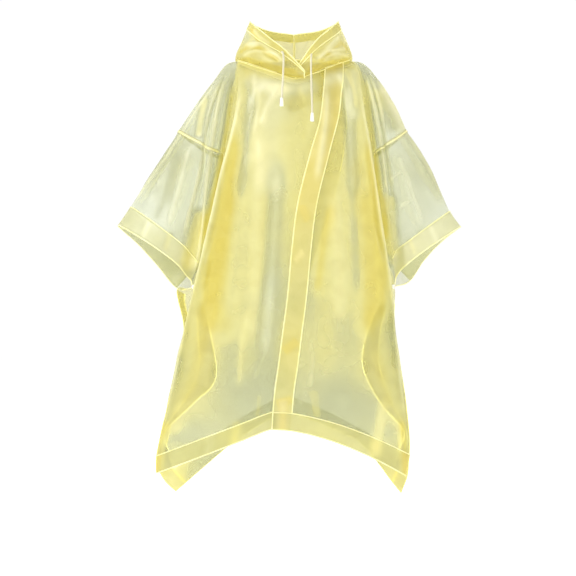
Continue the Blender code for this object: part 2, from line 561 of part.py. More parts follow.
def make_body(garment, film, band):
    """Makes the body and the sleeves, and returns the front and back grids and the arm's."""
    grids = {}
    arms = {}
    top = sum(ARM_FRONT_STEPS)
    seam = sum(BODY_ARM_STEPS)
    slit = sum(FRONT_ROW_STEPS[:SLIT_ROW])
    back = panel_grid(back_controls(), BACK_HALF_STEPS[::-1] + BACK_HALF_STEPS, BACK_ROW_STEPS)
    middle = sum(BACK_HALF_STEPS)
    halves = {"right": back[:, middle::-1], "left": back[:, middle:]}
    back_pieces = []
    for side, half in halves.items():
        turn = side == "right"
        front = panel_grid(front_controls(side), FRONT_COLUMN_STEPS[side], FRONT_ROW_STEPS)
        arm = arm_grid(side, front, half)
        grids[side] = (front, half)
        arms[side] = arm
        cap = shifted(arm[: seam + 1, : top + 1], "last", SHOULDER_GAP)
        add_sheet(garment, f"front_{side}", [(front, front, turn), (cap, cap, turn)], film)
        cap = shifted(arm[: seam + 1, top:], "first", SHOULDER_GAP)[:, ::-1]
        back_pieces += [(half, half, not turn), (cap, cap, not turn)]
        sleeve = shifted(arm[seam:], "top", SEAM_GAP)
        sleeve = shifted(shifted(sleeve, "first", SLEEVE_GAP), "last", SLEEVE_GAP)
        add_sheet(garment, f"sleeve_{side}", [(sleeve, sleeve, turn)], film)
        add_band(garment, f"cuff_{side}", sleeve, slice(-2, None), slice(1, -1), turn, band)
        make_tape(garment, side, arm, seam, turn, band)
        rows = slice(slit, -1)
        add_band(garment, f"hem_front_{side}", front, slice(-2, None), slice(0, None), turn, band)
        below = {"bottom": SEAM_GAP}
        add_band(garment, f"side_band_front_{side}", front, rows, slice(-2, None), turn, band, below)
        add_band(garment, f"side_band_back_{side}", half, rows, slice(-3, None), not turn, band, below)
    add_sheet(garment, "back", back_pieces, film)
    add_band(garment, "hem_back", back, slice(-2, None), slice(0, None), True, band)
    placket = FRONT_COLUMN_STEPS["left"][0]
    add_band(garment, "placket_band", grids["left"][0], slice(0, -1), slice(0, placket + 1), False,
             band, {"top": 0.6 * NECK_DROP, "bottom": SEAM_GAP})
    make_neck_bands(garment, grids, back, placket, band)
    return grids, arms


def make_neck_bands(garment, grids, back, placket, band):
    """A narrow band below the neck edge, on each front and across the back."""
    stretches = (
        ("neck_band_right", grids["right"][0], slice(1, -2), True),
        ("neck_band_left", grids["left"][0], slice(placket, -2), False),
        ("neck_band_back", back, slice(2, -2), True),
    )
    for name, panel, columns, turn in stretches:
        short = {"top": NECK_DROP, "first": SEAM_GAP}
        add_band(garment, name, panel, slice(0, 2), columns, turn, band, short)


def make_tape(garment, side, arm, seam, turn, band):
    """The tape over the weld between body and sleeve, round the arm."""
    strip = arm[seam - 1 : seam + 2].copy()
    for row in (0, 2):
        strip[row] = strip[1] + unit(strip[row] - strip[1]) * TAPE_WIDTH / 2
    add_band(garment, f"sleeve_tape_{side}", strip, slice(0, None), slice(1, -1), turn, band)


# ================================================================ the hood
def round_neck(points, sign):
    """The angle of points about the neck's middle, from the front and towards the side."""
    return np.arctan2(sign * (points[:, 0] - HOOD_MIDDLE) + 1e-9, -points[:, 1])


def neck_line(side, grids, arms):
    """The body's neck edge on one side, from the front's free edge to the middle of the back."""
    front, back = grids[side]
    return np.vstack([front[0], arms[side][0, 1:-1], back[0, ::-1]])


def on_neck(hood, side, grids, arms):
    """The hood with its seam laid along the body's neck edge, as far as it is welded."""
    sign = SIDES[side]
    line = neck_line(side, grids, arms)
    angles = round_neck(line, sign)
    order = np.argsort(angles)
    wanted = round_neck(hood[:, 0], sign)
    course = [np.interp(wanted, angles[order], line[order, axis]) for axis in range(3)]
    move = np.stack(course, axis=1) + (0, 0, HOOD_LIFT) - hood[:, 0]
    free = sum(HOOD_STEPS[: WELDED_FROM - 1])
    begins = sum(HOOD_STEPS[:WELDED_FROM])
    share = np.clip((np.arange(len(hood)) - free) / (begins - free), 0, 1)
    for column, follow in enumerate(SEAM_FOLLOW):
        hood[:, column] += move * share[:, None] * follow
    return hood


def make_hood(garment, grids, arms, film, band):
    for side, sign in SIDES.items():
        rows = []
        for row in HOOD_FRONT[side] + HOOD_AROUND:
            seam, low, overhang, wall, rim = points_of(row) * (sign, 1, 1) + (HOOD_MIDDLE, 0, 0)
            width = min(TUNNEL_WIDTH, 0.6 * np.linalg.norm(wall - rim))
            line = rim + unit(wall - rim) * width
            rows.append(smooth([seam, low, overhang, wall, line, rim], HOOD_PROFILE_STEPS))
        hood = on_neck(smooth(np.array(rows), HOOD_STEPS), side, grids, arms)
        turn = side == "right"
        add_sheet(garment, f"hood_{side}", [(hood, hood, turn)], film)
        add_band(garment, f"hood_tunnel_{side}", hood, slice(0, None), slice(-2, None), turn, band)


# ================================================================ fittings
def make_cords(garment, cord, plastic):
    for side, route in CORD_ROUTES.items():
        path = evenly_spaced(route, CORD_STEP)
        curve = bpy.data.curves.new(f"cord_{side}", "CURVE")
        curve.dimensions = "3D"
        curve.bevel_depth = CORD_RADIUS
        curve.bevel_resolution = 2
        curve.use_fill_caps = True
        line = curve.splines.new("POLY")
        line.points.add(len(path) - 1)
        for point, place in zip(line.points, path):
            point.co = (*place, 1.0)
        curve.materials.append(cord)
        garment.objects.link(bpy.data.objects.new(f"cord_{side}", curve))
        make_tip(garment, side, path[-1], plastic)


def evenly_spaced(route, step):
    """Points a step apart on the smooth curve through a route's own points."""
    fine = smooth(route, [12] * (len(route) - 1))
    length = np.linalg.norm(np.diff(fine, axis=0), axis=1).sum()
    return evenly(fine, int(round(length / step)) + 1)


def turned(garment, name, profile, place, material, sides=16):
    """A turned piece about a vertical axis: radius and height pairs from top to bottom."""
    mesh = bpy.data.meshes.new(name)
    mesh.from_pydata([(radius, 0.0, height) for radius, height in profile],
                     [(i, i + 1) for i in range(len(profile) - 1)], [])
    piece = bpy.data.objects.new(name, mesh)
    piece.location = place
    mesh.materials.append(material)
    garment.objects.link(piece)
    screw = piece.modifiers.new("turn", "SCREW")
    screw.steps = sides
    screw.render_steps = sides
    screw.use_merge_vertices = True
    screw.merge_threshold = WELD_DISTANCE
    return piece


def make_tip(garment, side, end, plastic):
    """The bell end on the cord, closed above and below."""
    top = -SEAM_GAP
    profile = (
        (0.0, top),
        (0.55 * TIP_RADIUS, top),
        (0.80 * TIP_RADIUS, top - 0.12 * TIP_LENGTH),
        (0.88 * TIP_RADIUS, top - 0.55 * TIP_LENGTH),
        (TIP_RADIUS, top - 0.90 * TIP_LENGTH),
        (0.92 * TIP_RADIUS, top - TIP_LENGTH),
        (0.0, top - TIP_LENGTH),
    )
    turned(garment, f"cord_tip_{side}", profile, end, plastic)


def make_snaps(garment, grids, plastic):
    """A cap before and a stud behind the two corners that the underarm snap holds together."""
    for side, panels in grids.items():
        for kind, panel, steps, behind in (
            ("cap", panels[0], FRONT_ROW_STEPS, False),
            ("stud", panels[1], BACK_ROW_STEPS, True),
        ):
            row = sum(steps[:SNAP_ROW])
            turn = (side == "right") != behind
            around = panel[row - 1 : row + 2, -3:].reshape(-1, 3)
            centre = panel[row, -2]
            normal = outwards(panel, turn)[row, -2]
            ways = unit(np.delete(around, 4, axis=0) - centre)
            lift = SNAP_RADIUS * max((ways @ normal).max(), 0.0) * BOW_MARGIN + GAP
            piece = turned(garment, f"snap_{kind}_{side}", snap_profile(), centre + normal * lift,
                           plastic)
            piece.rotation_euler = Vector(normal).to_track_quat("Z", "Y").to_euler()


def snap_profile():
    """Half of a snap's cap or stud: radius and height, from its outer face to the film."""
    return (
        (0.0, SNAP_DEPTH),
        (0.70 * SNAP_RADIUS, SNAP_DEPTH),
        (SNAP_RADIUS, 0.55 * SNAP_DEPTH),
        (SNAP_RADIUS, 0.0),
        (0.0, 0.0),
    )


def main():
    garment = start_clean()
    film = finish_material("frosted_film", (0.86, 0.83, 0.38), 0.35)
    band = finish_material("welded_band", (0.88, 0.86, 0.45), 0.38)
    cord = finish_material("drawstring", (0.86, 0.85, 0.74), 0.85)
    plastic = finish_material("white_plastic", (0.88, 0.88, 0.84), 0.35)
    grids, arms = make_body(garment, film, band)
    make_hood(garment, grids, arms, film, band)
    make_cords(garment, cord, plastic)
    make_snaps(garment, grids, plastic)


main()
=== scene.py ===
# %% [markdown]
# # A child's rain poncho in frosted film
# This lesson dresses a finished part: a hooded poncho, welded from a thin frosted film, in the
# shape that it takes when a child wears it. The solids are there already, and they are coarse.
# Here each sheet gets a fine, creased surface of its own, the welds get their bright lines, and
# the film gets a material that lets light through. First the frame is loaded, with every solid in
# its place, and the box that the dressed part has to stay in is kept.

import math

import bmesh
import bpy
import numpy as np
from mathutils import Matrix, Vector


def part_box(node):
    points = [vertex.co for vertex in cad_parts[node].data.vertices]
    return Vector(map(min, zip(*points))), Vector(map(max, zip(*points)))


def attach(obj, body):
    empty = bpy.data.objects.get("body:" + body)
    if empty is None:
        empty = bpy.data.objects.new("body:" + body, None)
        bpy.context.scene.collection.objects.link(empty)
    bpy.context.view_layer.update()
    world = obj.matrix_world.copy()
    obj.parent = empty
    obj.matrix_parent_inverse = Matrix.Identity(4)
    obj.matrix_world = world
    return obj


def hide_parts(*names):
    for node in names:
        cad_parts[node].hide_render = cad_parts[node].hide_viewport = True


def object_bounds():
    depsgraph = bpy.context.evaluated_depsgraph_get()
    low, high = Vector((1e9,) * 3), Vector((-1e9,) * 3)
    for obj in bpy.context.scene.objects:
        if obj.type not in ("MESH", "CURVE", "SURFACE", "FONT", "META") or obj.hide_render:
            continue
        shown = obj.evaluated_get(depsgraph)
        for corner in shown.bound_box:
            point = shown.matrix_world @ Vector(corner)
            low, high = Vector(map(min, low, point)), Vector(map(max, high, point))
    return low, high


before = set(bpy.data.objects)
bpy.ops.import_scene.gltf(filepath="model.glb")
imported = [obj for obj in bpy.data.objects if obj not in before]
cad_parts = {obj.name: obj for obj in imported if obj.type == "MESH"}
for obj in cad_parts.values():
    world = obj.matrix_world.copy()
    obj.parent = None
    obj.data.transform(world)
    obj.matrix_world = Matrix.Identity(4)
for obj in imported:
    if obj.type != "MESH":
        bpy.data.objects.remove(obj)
cad_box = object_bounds()
corners = [[round(v, 3) for v in corner] for corner in cad_box]
print("solids:", len(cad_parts), "box:", corners)

# %% [markdown]
# ## The camera
# The garment is seen straight from the front, from three metres away, with a long lens, so that
# near and far pieces keep their proportions. The camera comes first because it frames all that
# follows.

# %% Place the camera
CAMERA_PLACE = (-0.0044, -3.0, -0.5016)
LENS_LENGTH = 85.0  # in millimetres, as the sensor's width is
SENSOR_WIDTH = 36.0
camera_data = bpy.data.cameras.new("portrait_lens")
camera_data.lens = LENS_LENGTH
camera_data.sensor_width = SENSOR_WIDTH
camera = bpy.data.objects.new("camera", camera_data)
camera.location = CAMERA_PLACE
camera.rotation_euler = (math.pi / 2, 0.0, 0.0)
bpy.context.scene.collection.objects.link(camera)
bpy.context.scene.camera = camera
print("lens", LENS_LENGTH, "mm at", CAMERA_PLACE)

# %% [markdown]
# ## Small helpers
# Every piece of the garment rides on the part's one body and stands for the solid that it covers,
# which is hidden. One helper does both, so no piece is forgotten.

# %% A helper that hands a piece over
def hand_over(piece, nodes=()):
    """The piece rides on the body and stands for its solids, which are hidden."""
    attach(piece, "root")
    if nodes:
        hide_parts(*nodes)
    return piece


def link(name, data):
    piece = bpy.data.objects.new(name, data)
    bpy.context.scene.collection.objects.link(piece)
    return piece


def new_mesh(name, points, faces, *materials):
    """A smooth-shaded mesh object from points and faces."""
    mesh = bpy.data.meshes.new(name)
    mesh.from_pydata([tuple(p) for p in points], [], [tuple(f) for f in faces])
    mesh.shade_smooth()
    for material in materials:
        mesh.materials.append(material)
    return link(name, mesh)


# %% [markdown]
# ## Shader helpers
# A material is a tree of nodes, and most of the work is joining them. One helper makes a node and
# joins all its inputs, so that each material below reads from its pattern to its surface. Nothing
# on a real garment has one flat colour either, so the most used pattern sends a noise through a
# ramp of colours.

# %% Helpers that build materials
def node(tree, kind, numbered=(), settings=(), **named):
    """A shader node. Each input, by its number or its name, is given a value, another node's
    output, or a node, which stands for its first output."""
    new = tree.nodes.new(kind)
    for setting, value in dict(settings).items():
        setattr(new, setting, value)
    inputs = {name.replace("_", " "): value for name, value in named.items()}
    for key, value in (dict(numbered) | inputs).items():
        if isinstance(value, bpy.types.Node):
            value = value.outputs[0]
        if isinstance(value, bpy.types.NodeSocket):
            tree.links.new(value, new.inputs[key])
        else:
            new.inputs[key].default_value = value
    return new


def empty_material(name):
    material = bpy.data.materials.new(name)
    material.use_nodes = True
    material.node_tree.nodes.clear()
    return material, material.node_tree


def opaque(colour):
    return (*colour, 1.0)


def arithmetic(tree, kind, first, second):
    """One step of arithmetic, with its result held between 0 and 1."""
    how = {"operation": kind, "use_clamp": True}
    return node(tree, "ShaderNodeMath", {0: first, 1: second}, how)


def ramp_of(tree, value, stops, easing="EASE"):
    """A value through a ramp of (position, colour) stops."""
    ramp = node(tree, "ShaderNodeValToRGB", Fac=value)
    ramp.color_ramp.interpolation = easing
    while len(ramp.color_ramp.elements) < len(stops):
        ramp.color_ramp.elements.new(0.5)
    for element, (position, colour) in zip(ramp.color_ramp.elements, stops):
        element.position = position
        element.color = opaque(colour)
    return ramp


def object_noise(tree, scale, detail, roughness=0.5):
    """A noise in the object's own space."""
    place = node(tree, "ShaderNodeTexCoord").outputs["Object"]
    return node(
        tree, "ShaderNodeTexNoise", Vector=place, Scale=scale, Detail=detail, Roughness=roughness,
    )


def noise_ramp(tree, scale, stops, detail=3.0):
    """A noise in the object's own space, through a ramp of (position, colour) stops."""
    return ramp_of(tree, object_noise(tree, scale, detail, 0.55), stops)


# %% [markdown]
# ## The drawstring's free ends
# The drawstring runs inside the hood's edge and comes out on both sides of the neck. Each end is a
# limp round cord, four millimetres thick, and the weight of its bell-shaped end pulls it straight.
# A curve with a bevel is the right tool for it: one smooth line, as long as the real cord.

# %% The routes of the two ends
# x, y and z, from the hole in the hood's edge down to the bell end.
CORD_ROUTES = {
    "right": (
        (-0.0177, -0.1162, -0.0018),
        (-0.0165, -0.1205, -0.0018),
        (-0.0148, -0.1245, -0.0060),
        (-0.0138, -0.1280, -0.0140),
        (-0.0138, -0.1295, -0.0250),
        (-0.0143, -0.1300, -0.0400),
        (-0.0152, -0.1298, -0.0600),
        (-0.0165, -0.1292, -0.0800),
        (-0.0178, -0.1285, -0.0990),
    ),
    "left": (
        (0.0455, -0.1135, -0.0060),
        (0.0452, -0.1190, -0.0060),
        (0.0447, -0.1235, -0.0110),
        (0.0443, -0.1270, -0.0200),
        (0.0442, -0.1288, -0.0350),
        (0.0446, -0.1295, -0.0550),
        (0.0452, -0.1292, -0.0800),
        (0.0460, -0.1288, -0.1050),
        (0.0466, -0.1285, -0.1310),
    ),
}
STEPS_BETWEEN = 12
POINTS_ALONG = 40
print("points of the routes:", {side: len(route) for side, route in CORD_ROUTES.items()})


# %% A smooth path through a few stations
def smooth(stations, steps):
    """A smooth path through the stations, each a point or a row of points, cut into steps[i] parts
    between station i and the next. It is made of cubic pieces that meet without a corner."""
    p = np.array(stations, dtype=float)
    apart = np.linalg.norm(np.diff(p, axis=0), axis=-1)
    spans = np.sqrt(np.maximum(apart.reshape(len(p) - 1, -1).mean(axis=1), 1e-5))
    wide = spans.reshape((-1,) + (1,) * (p.ndim - 1))
    slopes = np.diff(p, axis=0) / wide
    bends = np.empty_like(p)
    bends[0] = slopes[0]
    bends[-1] = slopes[-1]
    bends[1:-1] = (slopes[:-1] * wide[1:] + slopes[1:] * wide[:-1]) / (wide[:-1] + wide[1:])
    path = [p[0]]
    for i, count in enumerate(steps):
        for k in range(1, count + 1):
            t = k / count
            a = 2 * t**3 - 3 * t**2 + 1
            b = (t**3 - 2 * t**2 + t) * spans[i]
            c = 3 * t**2 - 2 * t**3
            d = (t**3 - t**2) * spans[i]
            path.append(a * p[i] + b * bends[i] + c * p[i + 1] + d * bends[i + 1])
    return np.array(path)


def distances_along(line):
    """How far along a line each of its points lies."""
    return np.concatenate([[0.0], np.cumsum(np.linalg.norm(np.diff(line, axis=0), axis=-1))])


def evenly(line, count):
    """The line's points moved along it to equal steps."""
    lengths = distances_along(line)
    marks = np.linspace(0, lengths[-1], count)
    return np.stack([np.interp(marks, lengths, line[:, axis]) for axis in range(3)], axis=1)


def length_of(line):
    return float(np.linalg.norm(np.diff(line, axis=0), axis=1).sum())


cord_paths = {}
for side, route in CORD_ROUTES.items():
    fine_route = smooth(route, [STEPS_BETWEEN] * (len(route) - 1))
    cord_paths[side] = evenly(fine_route, POINTS_ALONG)
    print("cord", side, round(length_of(cord_paths[side]) * 1000), "mm")

# %% [markdown]
# A braided cord is never one flat white. Its strands wind round it, so the bump is a pair of
# crossing waves along the cord, and the colour is darker between the strands, as painted shade.

# %% The cord's material
STRAND_TILTS = (0.7, -0.7)  # of the two sets of strands, in radians
STRAND_SCALE = 320.0
STRAND_HEIGHT = 0.0004


def braid_material(name, light, dark):
    material, tree = empty_material(name)
    place = node(tree, "ShaderNodeTexCoord").outputs["Object"]
    waves = []
    for tilt in STRAND_TILTS:
        turned = node(tree, "ShaderNodeMapping", Vector=place, Rotation=(0.0, tilt, 0.0))
        wave = node(
            tree, "ShaderNodeTexWave", settings={"bands_direction": "Z"}, Vector=turned,
            Scale=STRAND_SCALE, Distortion=0.6, Detail=1.0,
        )
        waves.append(wave.outputs["Fac"])
    strands = arithmetic(tree, "MULTIPLY", *waves)
    bump = node(tree, "ShaderNodeBump", Height=strands, Strength=0.6, Distance=STRAND_HEIGHT)
    # The colour is darker between the strands: painted shade.
    surface = node(
        tree, "ShaderNodeBsdfPrincipled", Normal=bump, Roughness=0.78,
        Base_Color=ramp_of(tree, strands, [(0.0, dark), (0.55, light)], "LINEAR"),
        Sheen_Weight=0.25, Sheen_Roughness=0.4,
    )
    node(tree, "ShaderNodeOutputMaterial", Surface=surface)
    return material


def plastic_material(name, light, dark, roughness):
    """Moulded plastic with a faint flow in its colour and a finely sanded surface."""
    material, tree = empty_material(name)
    grain = object_noise(tree, 2500.0, 2.0)
    bump = node(tree, "ShaderNodeBump", Height=grain, Strength=0.2, Distance=0.00005)
    surface = node(
        tree, "ShaderNodeBsdfPrincipled", Normal=bump, Roughness=roughness,
        Base_Color=noise_ramp(tree, 120.0, [(0.35, light), (0.75, dark)]),
        Subsurface_Weight=0.15, Subsurface_Scale=0.002,
    )
    node(tree, "ShaderNodeOutputMaterial", Surface=surface)
    return material


braid = braid_material("braided_cord", (0.88, 0.85, 0.68), (0.58, 0.54, 0.38))
plastic = plastic_material("white_plastic", (0.90, 0.90, 0.86), (0.84, 0.84, 0.78), 0.30)
print("materials:", braid.name, plastic.name)

# %% [markdown]
# Each bell end is turned like a lathe piece: a profile, a little wider at its foot, with a shallow
# groove that grips the cord. A Screw modifier spins the profile round the cord's own line, so it
# stays one clean surface.

# %% Make the cords and their bell ends
CORD_RADIUS = 0.0020
# Down from the top: how far out, as a share of the radius, and how far down, of the length.
BELL_PROFILE = (
    (0.0, 0.0), (0.50, 0.0), (0.66, 0.02), (0.78, 0.09), (0.82, 0.16), (0.70, 0.20), (0.70, 0.24),
    (0.82, 0.28), (0.86, 0.55), (0.95, 0.82), (1.0, 0.92), (0.96, 0.985), (0.86, 1.0), (0.0, 1.0),
)
LATHE_SIDES = 32


def lathe(name, profile, material):
    """A turned piece round the local Z axis, from (radius, height) pairs, top to bottom."""
    mesh = bpy.data.meshes.new(name)
    edges = [(i, i + 1) for i in range(len(profile) - 1)]
    mesh.from_pydata([(r, 0.0, z) for r, z in profile], edges, [])
    mesh.materials.append(material)
    piece = link(name, mesh)
    screw = piece.modifiers.new("turn", "SCREW")
    screw.steps = LATHE_SIDES
    screw.render_steps = LATHE_SIDES
    screw.use_merge_vertices = True
    screw.merge_threshold = 0.00001
    screw.use_smooth_shade = True
    return piece


def cord_curve(name, path):
    """A round cord along a path, with its ends closed."""
    curve = bpy.data.curves.new(name, "CURVE")
    curve.dimensions = "3D"
    curve.bevel_depth = CORD_RADIUS
    curve.bevel_resolution = 4
    curve.use_fill_caps = True
    line = curve.splines.new("POLY")
    line.points.add(len(path) - 1)
    for point, place in zip(line.points, path):
        point.co = (*place, 1.0)
    curve.materials.append(braid)
    return link(name, curve)


for side, path in cord_paths.items():
    string = cord_curve(f"drawstring_{side}", path)
    hand_over(string, [f"cord_{side}"])
    low, high = (Vector(corner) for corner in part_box(f"cord_tip_{side}"))
    radius, length = (high.x - low.x) / 2, high.z - low.z
    profile = [(out * radius, -down * length) for out, down in BELL_PROFILE]
    bell = lathe(f"bell_end_{side}", profile, plastic)
    bell.location = ((low.x + high.x) / 2, (low.y + high.y) / 2, high.z)
    hand_over(bell, [f"cord_tip_{side}"])
    print("bell end", side, round(radius * 2000, 1), "mm wide")

# %% [markdown]
# ## The film
# Frosted film does three things at once: it lets a part of the light straight through, so shapes
# behind it show; it scatters a part of it onward, so it glows where light comes from behind; and
# it reflects a little from its softly pebbled surface. So the material mixes three shaders:
# Transparent for the clear part, Translucent for the glow and Principled for the surface.
# The film isn't the same everywhere. Where layers lie close, as in bands and turned-in margins, it
# looks dense and golden, and in troughs and valleys the same denser gold is painted shade. Where
# it is sharply bent it is bleached and milky, and on ridges and a few pale patches that paleness
# is a painted highlight. Two values that each sheet keeps at its points, one for density and
# painted shade and one for bleaching and painted highlight, move the colour and the share of clear
# film. A slow noise adds the unevenness of the pigment.

# %% The film's material
# The colours, and what clear film does to light, from thin to dense. The dense end also colours
# the painted shade in troughs and valleys.
FILM_COLOURS = (
    (0.0, (0.76, 0.79, 0.66)),
    (0.22, (0.61, 0.63, 0.44)),
    (0.46, (0.90, 0.87, 0.52)),
    (1.0, (0.80, 0.71, 0.25)),
)
FILM_TINTS = (
    (0.0, (0.968, 0.976, 0.944)),
    (0.10, (0.925, 0.928, 0.862)),
    (0.22, (0.874, 0.876, 0.788)),
    (0.46, (0.902, 0.890, 0.735)),
    (1.0, (0.932, 0.908, 0.67)),
)
BAND_COLOURS = (
    (0.0, (0.62, 0.62, 0.44)),
    (0.30, (0.84, 0.81, 0.47)),
    (0.55, (0.97, 0.93, 0.50)),
    (1.0, (0.95, 0.85, 0.30)),
)
# The milky colour of bleached film, also used for the painted highlights on ridges.
MILKY_AND_HIGHLIGHT = (1.0, 0.985, 0.76)
GLOW_SHARE = 0.45  # of the scattered light, which comes out on the far side
DENSE_BODY = 0.16  # what full density, and full bleaching, add to the share that isn't clear
BLEACHED_BODY = 0.30
SPECULAR = 0.6


def kept_value(tree, name):
    """A value that the sheet keeps at its points, held between 0 and 1."""
    attribute = node(tree, "ShaderNodeAttribute", settings={"attribute_name": name})
    return node(tree, "ShaderNodeClamp", Value=attribute.outputs["Fac"])


def mottle(tree, scale, least, most, spread=(0.3, 0.7)):
    """A value that drifts softly between the least and the most."""
    stops = [(position, (value,) * 3) for position, value in zip(spread, (least, most))]
    return noise_ramp(tree, scale, stops, 0.0)


def pebbled(tree):
    """The film's bumps: a fine grain on a slow ripple."""
    grain = object_noise(tree, 900.0, 1.0)
    fine = node(tree, "ShaderNodeBump", Height=grain, Strength=0.20, Distance=0.00006)
    slow = object_noise(tree, 24.0, 0.0)
    return node(tree, "ShaderNodeBump", Height=slow, Normal=fine, Strength=0.14, Distance=0.0010)


def let_light_through(tree, surface, colour, tint, share):
    """The rest of a see-through material: a share of the light is scattered, off the surface and
    through the film, and the rest goes straight through, with a tint."""
    glow = node(tree, "ShaderNodeBsdfTranslucent", Color=colour)
    scatter = node(tree, "ShaderNodeMixShader", {1: surface, 2: glow}, Fac=GLOW_SHARE)
    clear = node(tree, "ShaderNodeBsdfTransparent", Color=tint)
    mixed = node(tree, "ShaderNodeMixShader", {1: clear, 2: scatter}, Fac=share)
    node(tree, "ShaderNodeOutputMaterial", Surface=mixed)


def film_material(name, colours, body, roughness):
    """Frosted film. colours are its stops from thin to dense, body the least and the most share
    of it that isn't clear, and roughness its least and most."""
    material, tree = empty_material(name)
    clouds = mottle(tree, 7.0, 0.02, 0.16, (0.2, 0.8))
    # The density is the film's own and, in troughs and valleys, painted shade. The bleaching is
    # the film's own and, on ridges and pale patches, a painted highlight.
    dense = arithmetic(tree, "ADD", kept_value(tree, "dense"), clouds)
    bleached = kept_value(tree, "bleached")
    mix = node(
        tree, "ShaderNodeMix", {0: bleached, 6: ramp_of(tree, dense, colours), 7: opaque(MILKY_AND_HIGHLIGHT)},
        {"data_type": "RGBA"},
    )
    colour = mix.outputs[2]
    share = mottle(tree, 26.0, *body)
    for value, adds in ((dense, DENSE_BODY), (bleached, BLEACHED_BODY)):
        share = arithmetic(tree, "ADD", share, arithmetic(tree, "MULTIPLY", value, adds))
    surface = node(
        tree, "ShaderNodeBsdfPrincipled", Base_Color=colour, Normal=pebbled(tree), IOR=1.49,
        Roughness=mottle(tree, 40.0, *roughness), Specular_IOR_Level=SPECULAR,
    )
    let_light_through(tree, surface, colour, ramp_of(tree, dense, FILM_TINTS), share)
    return material


film = film_material("frosted_film", FILM_COLOURS, (0.18, 0.25), (0.24, 0.36))
band_film = film_material("doubled_film", BAND_COLOURS, (0.30, 0.38), (0.26, 0.38))
print("materials:", film.name, band_film.name)

# %% [markdown]
# ## The welds
# A weld is film melted together under a hot bar. It is denser and paler than the sheet, and its
# rounded edge catches the light. Light that travels inside real film comes out at welds and cut
# edges; here it is a painted glow, an emission, so that every seam shows as a bright line, even
# through another layer. The welds of the back, and of the margins turned in behind the fronts, are
# seen against the light and get a stronger painted glow. A weld is too fine to light anything
# beside it, so the renderer needn't treat it as a lamp.

# %% The weld's material
WELD_COLOURS = [(0.35, (1.0, 0.985, 0.72)), (0.7, (0.97, 0.94, 0.56))]
# The colour of the welds' painted glow.
WELD_PAINTED_GLOW = (1.0, 0.97, 0.62)
WELD_TINT = (0.98, 0.97, 0.86)


def weld_material(name, painted_glow, body):
    """Melted film with a painted glow. shine is how strong that glow is, and body the share of it
    that isn't clear.
    """
    material, tree = empty_material(name)
    material.cycles.emission_sampling = "NONE"
    colour = noise_ramp(tree, 60.0, WELD_COLOURS)
    surface = node(
        tree, "ShaderNodeBsdfPrincipled", Base_Color=colour, Roughness=0.28,
        Specular_IOR_Level=SPECULAR, Emission_Color=opaque(WELD_PAINTED_GLOW), Emission_Strength=painted_glow,
    )
    let_light_through(tree, surface, colour, opaque(WELD_TINT), body)
    return material


# Each weld's emission is a painted glow; the welds behind get a stronger one.
weld = weld_material("weld", 0.26, 0.72)
far_weld_painted_glow = weld_material("weld_behind_painted_glow", 1.40, 0.97)
print("materials:", weld.name, far_weld_painted_glow.name)

# %% [markdown]
# ## The form of each panel
# A maker cuts flat panels, but worn film hangs in folds, so each panel is described the way it
# hangs: by stations from the neck down to the hem. At each station a few named points give the
# most forward place, the ridge beside the chest and the fold line behind it. A smooth surface
# through the stations is the panel.

# %% The stations of the fronts
SIDES = {"right": -1, "left": 1}
# x, y and z of the most forward point, the x of the left front's free edge, which is on top, and
# the x of the right front's edge beneath it.
FRONT_MIDDLE = (
    ("neck", 0.012, -0.1, -0.056, 0.075, 0.084),
    ("shoulder", 0.012, -0.104, -0.068, 0.074, 0.09),
    ("collarbone", 0.012, -0.109, -0.097, 0.071, 0.108),
    ("upper chest", 0.012, -0.114, -0.148, 0.064, 0.12),
    ("arm seam", 0.01, -0.118, -0.22, 0.042, 0.113),
    ("ribs", 0.004, -0.121, -0.325, 0.016, 0.089),
    ("waist", 0, -0.124, -0.418, 0.004, 0.059),
    ("underarm", -0.004, -0.126, -0.506, -0.004, 0.031),
    ("slit", -0.008, -0.128, -0.55, -0.009, 0.026),
    ("hip", -0.012, -0.129, -0.592, -0.015, 0.021),
    ("thigh", -0.02, -0.132, -0.662, -0.024, 0.011),
    ("above knee", -0.026, -0.134, -0.708, -0.031, 0.006),
    ("knee", -0.03, -0.135, -0.738, -0.034, 0.003),
    ("hem weld", -0.032, -0.137, -0.762, -0.036, 0.001),
    ("hem", -0.034, -0.139, -0.798, -0.038, -0.001),
)
